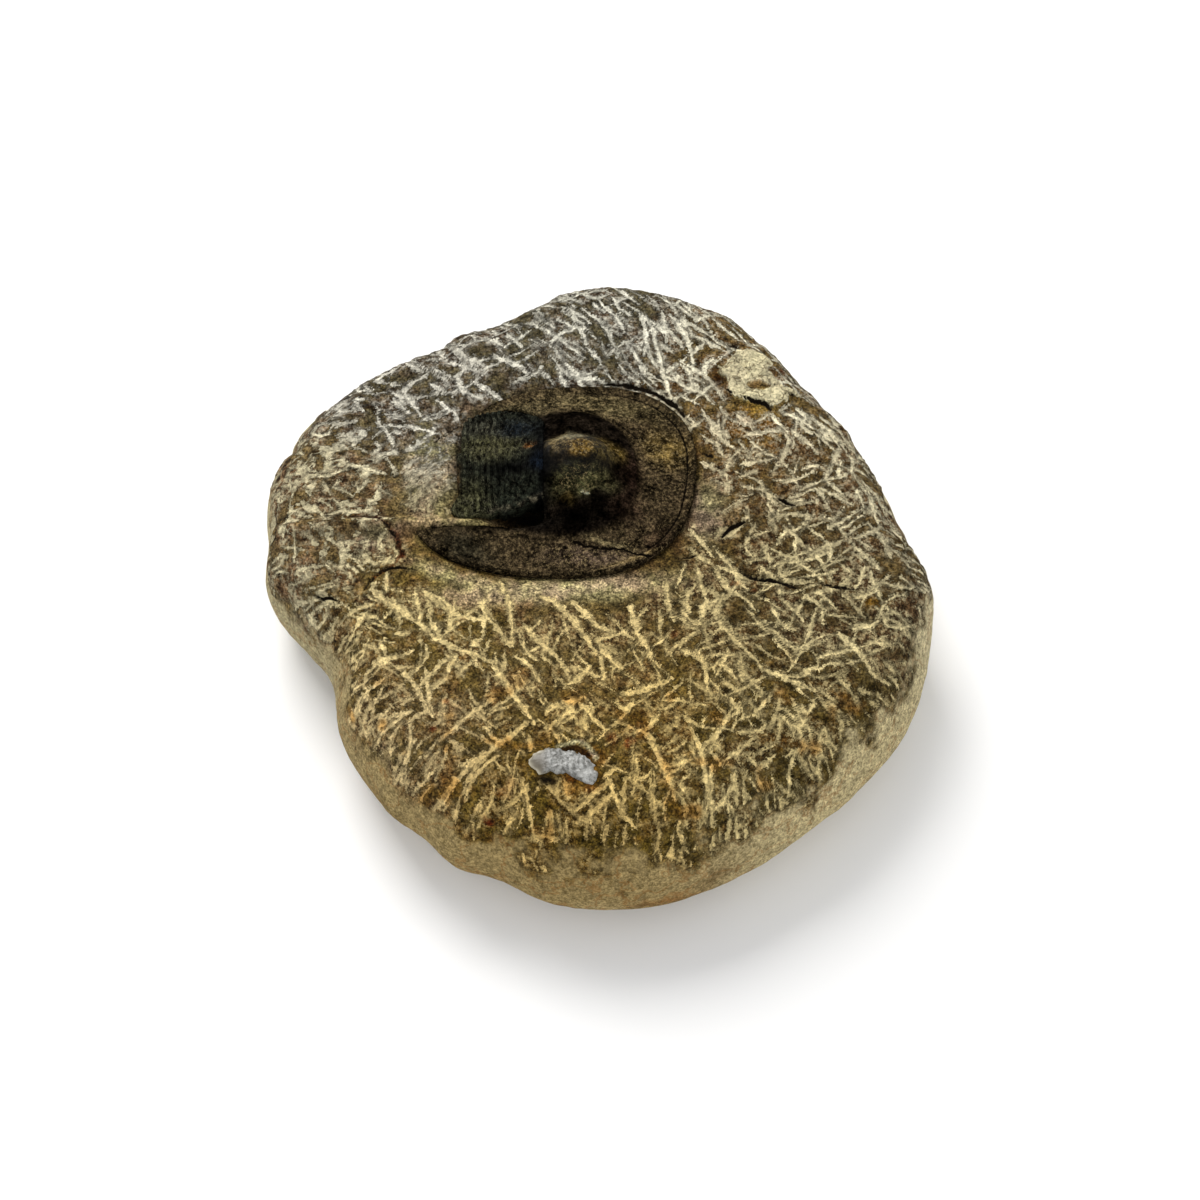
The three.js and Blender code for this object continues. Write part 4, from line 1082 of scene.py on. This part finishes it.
def summed(tree, total, terms):
    """A total with each value times its weight added to it."""
    for value, weight in terms:
        total = add(tree, MATH, {0: value, 1: weight, 2: total}, operation="MULTIPLY_ADD")
    return total


def product(tree, total, *values):
    """A total multiplied by each value in turn."""
    for value in values:
        total = add(tree, MATH, {0: total, 1: value}, operation="MULTIPLY")
    return total


def scratches(tree, place, bearing, length, width, line):
    """Thin broken lines at a bearing: where noise stretched along them passes its middle
    value, except where a coarser noise is low."""
    turned = add(tree, "ShaderNodeMapping", {
        "Vector": place, "Rotation": (0, 0, math.radians(bearing)),
        "Scale": (length * MM, width * MM, width * MM),
    }, vector_type="TEXTURE")
    wave = add(tree, NOISE, {"Vector": turned, "Scale": 1.0, "Detail": 2.0})
    hair = add(tree, MATH, {0: wave, 1: 0.5, 2: line}, operation="COMPARE")
    broken = add(tree, NOISE, {"Vector": place, "Scale": per(0.5 * length), "Detail": 1.0})
    kept = add(tree, MAP, {"Value": broken, "From Min": 0.5, "From Max": 0.56})
    return product(tree, hair, kept)


def dusted(tree, place, base, speck, hairs, dust, pale):
    """A colour with pale specks and scratches over it, as far as the dust goes. The hairs are
    two rows of what scratches() takes, and how strong the scratches are."""
    one, other, strong = hairs
    hair = add(tree, MATH, {
        0: scratches(tree, place, *one), 1: scratches(tree, place, *other),
    }, operation="MAXIMUM")
    hair = product(tree, hair, strong)
    speck = add(tree, MATH, {0: speck, 1: hair}, operation="MAXIMUM")
    return add(tree, MIX, {0: product(tree, speck, dust), 6: base, 7: rgba(pale)}, **BLEND)


def limestone():
    """Marly limestone, chipped free with a vibrating point: dark where it was broken, with
    pale bruised powder in every stroke, and a smooth weathered rind where it wasn't worked."""
    material, tree, place, shader = finish("worked_limestone")
    ground, chalk, buff = (
        add(tree, ATTRIBUTE, {}, "Color", attribute_name=key)
        for key in ("ground", "chalk", "buff")
    )
    edge, across, half, along, strength, crack, natural, crust = (
        add(tree, ATTRIBUTE, {}, "Fac", attribute_name=key)
        for key in ("edge", "across", "half", "along", "strength", "crack", "natural", "crust")
    )
    blotch, mottle, grain, crumb, sand = (
        add(tree, NOISE, {
            "Vector": place, "Scale": per(size), "Detail": detail, "Roughness": harshness,
        })
        for size, detail, harshness in (
            (4.5, 3.0, 0.5), (1.5, 5.0, 0.7), (0.55, 3.0, 0.75), (1.0, 4.0, 0.8), (0.3, 1.0, 0.5),
        )
    )

    # The rock: olive and violet-brown clouds, grainy, with painted shade beside the powder and
    # in dark pits, and pale crystal grains.
    cloud = add(tree, MAP, {"Value": blotch, "From Min": 0.38, "From Max": 0.62}, **SMOOTH)
    hue = add(tree, MIX, {0: cloud, 6: rgba("#f3eecc"), 7: rgba("#ffeae0")}, **BLEND)
    rock = add(tree, MIX, {0: 1.0, 6: ground, 7: hue}, **BLEND, blend_type="MULTIPLY")
    rock = shaded(tree, rock, (
        (mottle, 0.34, 0.68, 0.3, 1.6), (grain, 0.34, 0.66, 0.35, 1.65),
        (sand, 0.34, 0.66, 0.45, 1.55), (edge, 0.7, 0.15, 1.0, 0.5),
        (crumb, 0.44, 0.36, 1.0, 0.2),
    ))

    # The powder: it follows the stroke's middle line, frayed into fibres along it and crumbled
    # at its edge, with a thin dusting beyond.
    lane = add(tree, "ShaderNodeCombineXYZ", {"X": along, "Y": across})
    fibre = add(tree, VECTOR, {0: lane, 1: (0.7, 4.5, 1)}, operation="MULTIPLY")
    fibre = add(tree, NOISE, {"Vector": fibre, "Scale": 1.0, "Detail": 2.0})
    spur = add(tree, VECTOR, {0: lane, 1: (2.4, 0.9, 1)}, operation="MULTIPLY")
    spur = add(tree, NOISE, {"Vector": spur, "Scale": 1.0, "Detail": 2.0, "Roughness": 0.7})
    fibre, spur, shift, sandy = (
        add(tree, MATH, {0: value, 1: -0.5}, operation="ADD")
        for value in (fibre, spur, crumb, sand)
    )
    spur = summed(tree, spur, ((grain, 0.6),))
    spur = add(tree, MATH, {0: spur, 1: -0.3}, operation="ADD")
    fray = summed(tree, edge, ((fibre, 1.0), (shift, 1.6), (spur, 1.9), (sandy, 0.7)))
    wide = add(tree, MAP, {"Value": fray, "From Min": 0.08, "From Max": -0.1}, **SMOOTH)
    thin = add(tree, MATH, {0: across}, operation="ABSOLUTE")
    thin = add(tree, MATH, {0: thin, 1: half}, operation="SUBTRACT")
    thin = summed(tree, thin, ((shift, 0.8), (spur, 0.6)))
    thin = add(tree, MAP, {"Value": thin, "From Min": 0.06, "From Max": -0.06}, **SMOOTH)
    middle = add(tree, MATH, {0: edge, 1: half}, operation="ADD")
    middle = add(tree, MAP, {"Value": middle, "From Min": 0.36, "From Max": 0.26})
    cover = add(tree, MATH, {0: wide, 1: product(tree, thin, middle)}, operation="MAXIMUM")
    near = add(tree, MAP, {"Value": edge, "From Min": 1.7, "From Max": 0.0, "To Max": 0.85})
    dusty = add(tree, MAP, {"Value": crumb, "From Min": 0.48, "From Max": 0.6})
    drift = add(tree, MAP, {
        "Value": blotch, "From Min": 0.44, "From Max": 0.6, "To Min": 0.15, "To Max": 1.0,
    })
    sparse = add(tree, MAP, {
        "Value": grain, "From Min": 0.36, "From Max": 0.52, "To Min": 0.45, "To Max": 1.0,
    })
    cover = product(tree, cover, strength, sparse)
    halo = product(tree, near, dusty, drift, sparse)
    powder = add(tree, MATH, {0: cover, 1: halo}, operation="MAXIMUM")
    bright = add(tree, MAP, {
        "Value": mottle, "From Min": 0.36, "From Max": 0.64, "To Min": 0.65, "To Max": 1.5,
    })
    bright = summed(tree, bright, ((sandy, 0.9),))
    chalky = add(tree, VECTOR, {0: chalk, "Scale": bright}, operation="SCALE")
    worked = add(tree, MIX, {0: powder, 6: rock, 7: chalky}, **BLEND)

    # The rind: buff, finely speckled, with thin rusty lines.
    rind = shaded(tree, buff, (
        (mottle, 0.36, 0.64, 0.75, 1.25), (grain, 0.4, 0.62, 0.75, 1.25),
        (sand, 0.36, 0.64, 0.75, 1.25),
    ))
    fleck = add(tree, MAP, {"Value": grain, "From Min": 0.47, "From Max": 0.36, "To Max": 0.5})
    rind = add(tree, MIX, {0: fleck, 6: rind, 7: rgba("#5c4b28")}, **BLEND)
    vein = add(tree, NOISE, {"Vector": place, "Scale": per(7), "Detail": 5.0, "Roughness": 0.55})
    vein = add(tree, MATH, {0: vein, 1: 0.5, 2: 0.012}, operation="COMPARE")
    vein = product(tree, vein, 0.35)
    rind = add(tree, MIX, {0: vein, 6: rind, 7: rgba("#8a5a28")}, **BLEND)
    skin = add(tree, MIX, {0: natural, 6: worked, 7: rind}, **BLEND)

    # The cream crust: thin dark lines where its flakes part.
    parting = add(tree, NOISE, {
        "Vector": place, "Scale": per(3.5), "Detail": 3.0, "Roughness": 0.6,
    })
    parting = add(tree, MATH, {0: parting, 1: 0.5, 2: 0.012}, operation="COMPARE")
    parting = product(tree, parting, crust, 0.7)
    skin = add(tree, MIX, {0: parting, 6: skin, 7: rgba("#5a4c34")}, **BLEND)

    # The cracks: black, with crumbling edges.
    torn = add(tree, MATH, {0: shift, 1: crack}, operation="ADD")
    black = add(tree, MAP, {"Value": torn, "From Min": 0.12, "From Max": -0.08}, **SMOOTH)
    skin = add(tree, MIX, {0: black, 6: skin, 7: rgba("#140f09")}, **BLEND)

    height = summed(tree, mottle, ((grain, 0.5), (powder, 0.3)))
    normal = add(tree, BUMP, {"Height": height, "Distance": 0.6 * MM, "Strength": 1.0})
    matt = add(tree, MAP, {"Value": powder, "To Min": 0.8, "To Max": 0.95})
    feed(tree, shader, {
        "Base Color": skin, "Roughness": matt, "Normal": normal, "Specular IOR Level": 0.03,
    })
    return material


def shell():
    """The head's cuticle, replaced by dark calcite: polished and almost black where it is
    thick over the head, duller brown on the brim, which is dusted and scratched pale."""
    material, tree, place, shader = finish("dark_calcite_cuticle")
    colour = add(tree, ATTRIBUTE, {}, "Color", attribute_name="shell")
    line, gloss, dust = (
        add(tree, ATTRIBUTE, {}, "Fac", attribute_name=key) for key in ("line", "gloss", "dust")
    )
    mottle, grain, sand, patch = (
        add(tree, NOISE, {
            "Vector": place, "Scale": per(size), "Detail": detail, "Roughness": harshness,
        })
        for size, detail, harshness in (
            (1.3, 5.0, 0.75), (0.45, 3.0, 0.75), (0.26, 1.0, 0.5), (3, 2.0, 0.5),
        )
    )
    base = shaded(tree, colour, (
        (mottle, 0.38, 0.64, 0.15, 2.2), (grain, 0.38, 0.64, 0.25, 2.0),
        (sand, 0.34, 0.66, 0.65, 1.35), (patch, 0.36, 0.64, 0.4, 1.65),
    ))
    speck = {"Value": grain, "From Min": 0.57, "From Max": 0.64, "To Max": 0.6}
    speck = add(tree, MAP, speck, **SMOOTH)
    hairs = ((35, 1.6, 0.5, 0.008), (-40, 1.4, 0.5, 0.008), 0.75)
    base = dusted(tree, place, base, speck, hairs, dust, "#9c8860")

    # The seam and the fracture: black, with crumbling edges.
    shift = add(tree, MATH, {0: grain, 1: -0.5}, operation="ADD")
    torn = summed(tree, line, ((shift, 0.3),))
    black = add(tree, MAP, {"Value": torn, "From Min": 0.1, "From Max": -0.03}, **SMOOTH)
    base = add(tree, MIX, {0: black, 6: base, 7: rgba("#0c0906")}, **BLEND)
    normal = add(tree, BUMP, {"Height": grain, "Distance": 0.2 * MM, "Strength": 0.8})
    matt = add(tree, MAP, {"Value": gloss, "To Min": 0.8, "To Max": 0.4})
    mirror = add(tree, MAP, {"Value": gloss, "To Min": 0.0, "To Max": 0.05})
    feed(tree, shader, {
        "Base Color": base, "Roughness": matt, "Normal": normal, "Specular IOR Level": mirror,
    })
    return material


def segments():
    """The thorax's cuticle: dark greenish calcite, matt between its ribs, covered in pale
    needle scratches from cleaning."""
    material, tree, place, shader = finish("greenish_calcite_segments")
    colour = add(tree, ATTRIBUTE, {}, "Color", attribute_name="shell")
    dust = add(tree, ATTRIBUTE, {}, "Fac", attribute_name="dust")
    mottle, grain = (
        add(tree, NOISE, {
            "Vector": place, "Scale": per(size), "Detail": detail, "Roughness": 0.75,
        })
        for size, detail in ((1.1, 5.0), (0.36, 3.0))
    )
    base = shaded(tree, colour, (
        (mottle, 0.4, 0.64, 0.05, 2.7), (grain, 0.38, 0.64, 0.25, 2.0),
    ))
    speck = add(tree, MAP, {"Value": grain, "From Min": 0.6, "From Max": 0.7, "To Max": 0.4})
    hairs = ((70, 1.6, 0.45, 0.009), (-40, 1.4, 0.5, 0.009), 0.65)
    base = dusted(tree, place, base, speck, hairs, dust, "#7c7860")
    normal = add(tree, BUMP, {"Height": grain, "Distance": 0.2 * MM, "Strength": 0.9})
    feed(tree, shader, {
        "Base Color": base, "Normal": normal, "Roughness": 0.7, "Specular IOR Level": 0.02,
    })
    return material


def calcite():
    """White sparry calcite, broken across: milky crystals with grey boundaries, whose flat
    faces catch the light, and a thin brownish tongue with a painted highlight along its outline."""
    material, tree, place, shader = finish("sparry_calcite")
    cloud, grain = (
        add(tree, NOISE, {
            "Vector": place, "Scale": per(size), "Detail": detail, "Roughness": harshness,
        })
        for size, detail, harshness in ((1.6, 4.0, 0.7), (0.5, 3.0, 0.75))
    )
    both = summed(tree, cloud, ((grain, 1.2),))
    share = add(tree, MAP, {"Value": both, "From Min": 0.92, "From Max": 1.3})
    base = add(tree, MIX, {0: share, 6: rgba("#605f5a"), 7: rgba("#a9a9a5")}, **BLEND)
    along = add(tree, "ShaderNodeSeparateXYZ", {"Vector": place})
    tongue = add(tree, MAP, {"Value": along, "From Min": -6.2 * MM, "From Max": -7.6 * MM})
    base = add(tree, MIX, {0: tongue, 6: base, 7: rgba("#554e40")}, **BLEND)
    # Painted highlight: the tongue is paler along its outline.
    rim = add(tree, ATTRIBUTE, {}, "Fac", attribute_name="rim")
    rim = product(tree, rim, tongue)
    base = add(tree, MIX, {0: rim, 6: base, 7: rgba("#c2bba6")}, **BLEND)
    normal = add(tree, BUMP, {"Height": grain, "Distance": 0.1 * MM, "Strength": 0.7})
    feed(tree, shader, {
        "Base Color": base, "Normal": normal, "Roughness": 0.38, "Specular IOR Level": 0.5,
        "Subsurface Weight": 0.15, "Subsurface Radius": (1.0, 1.0, 1.0),
        "Subsurface Scale": 0.4 * MM,
    })
    return material


# ---- The room ------------------------------------------------------------------------------
def make_room():
    """A white matt floor and a pale world."""
    reach = 3.0
    corners = [(-reach, -reach, 0), (reach, -reach, 0), (reach, reach, 0), (-reach, reach, 0)]
    mesh = bpy.data.meshes.new("floor")
    mesh.from_pydata(corners, [], [(0, 1, 2, 3)])
    material, tree, _, shader = finish("white_paper")
    feed(tree, shader, {"Base Color": (0.9, 0.9, 0.9, 1), "Roughness": 0.9})
    mesh.materials.append(material)
    floor = bpy.data.objects.new("floor", mesh)
    bpy.context.scene.collection.objects.link(floor)
    world = bpy.data.worlds.new("studio")
    world.use_nodes = True
    sky = world.node_tree.nodes["Background"]
    feed(world.node_tree, sky, {"Color": (0.95, 0.97, 1, 1), "Strength": 0.6})
    bpy.context.scene.world = world


def make_light(name, place, aim, size, watts, colour):
    """A square soft light at a place, turned to face its aim."""
    data = bpy.data.lights.new(name, "AREA")
    data.size, data.energy, data.color = size, watts, colour
    light = bpy.data.objects.new(name, data)
    x, y, z = np.subtract(aim, place)
    tilt = math.atan2(math.hypot(x, y), -z)
    light.location = place
    light.rotation_euler = (tilt, 0, math.atan2(y, x) - math.pi / 2)
    bpy.context.scene.collection.objects.link(light)


def make_camera():
    """The camera, level from side to side, looks down at its aim from the front."""
    data = bpy.data.cameras.new("camera")
    data.lens, data.sensor_width, data.clip_start = LENS, SENSOR, 0.01
    camera = bpy.data.objects.new("camera", data)
    up = math.radians(ELEVATION)
    camera.location = (AIM + DISTANCE * np.array((0, -math.cos(up), math.sin(up)))) * MM
    camera.rotation_euler = (math.pi / 2 - up, 0, 0)
    bpy.context.scene.collection.objects.link(camera)
    bpy.context.scene.camera = camera


# ---- Everything ----------------------------------------------------------------------------
bpy.context.scene.view_settings.view_transform = "Standard"
make_camera()
make_room()
make_light("key", (-0.2, 0.42, 0.5), (0, 0, 0.02), 0.4, 4.7, (1, 0.98, 0.95))
make_light("front", (0.1, -0.6, 0.4), (0, 0, 0.01), 0.5, 1.8, (1, 0.98, 0.94))
make_cobble(draw_strokes())
make_shield()
make_thorax()
make_calcite()

bpy.context.view_layer.update()
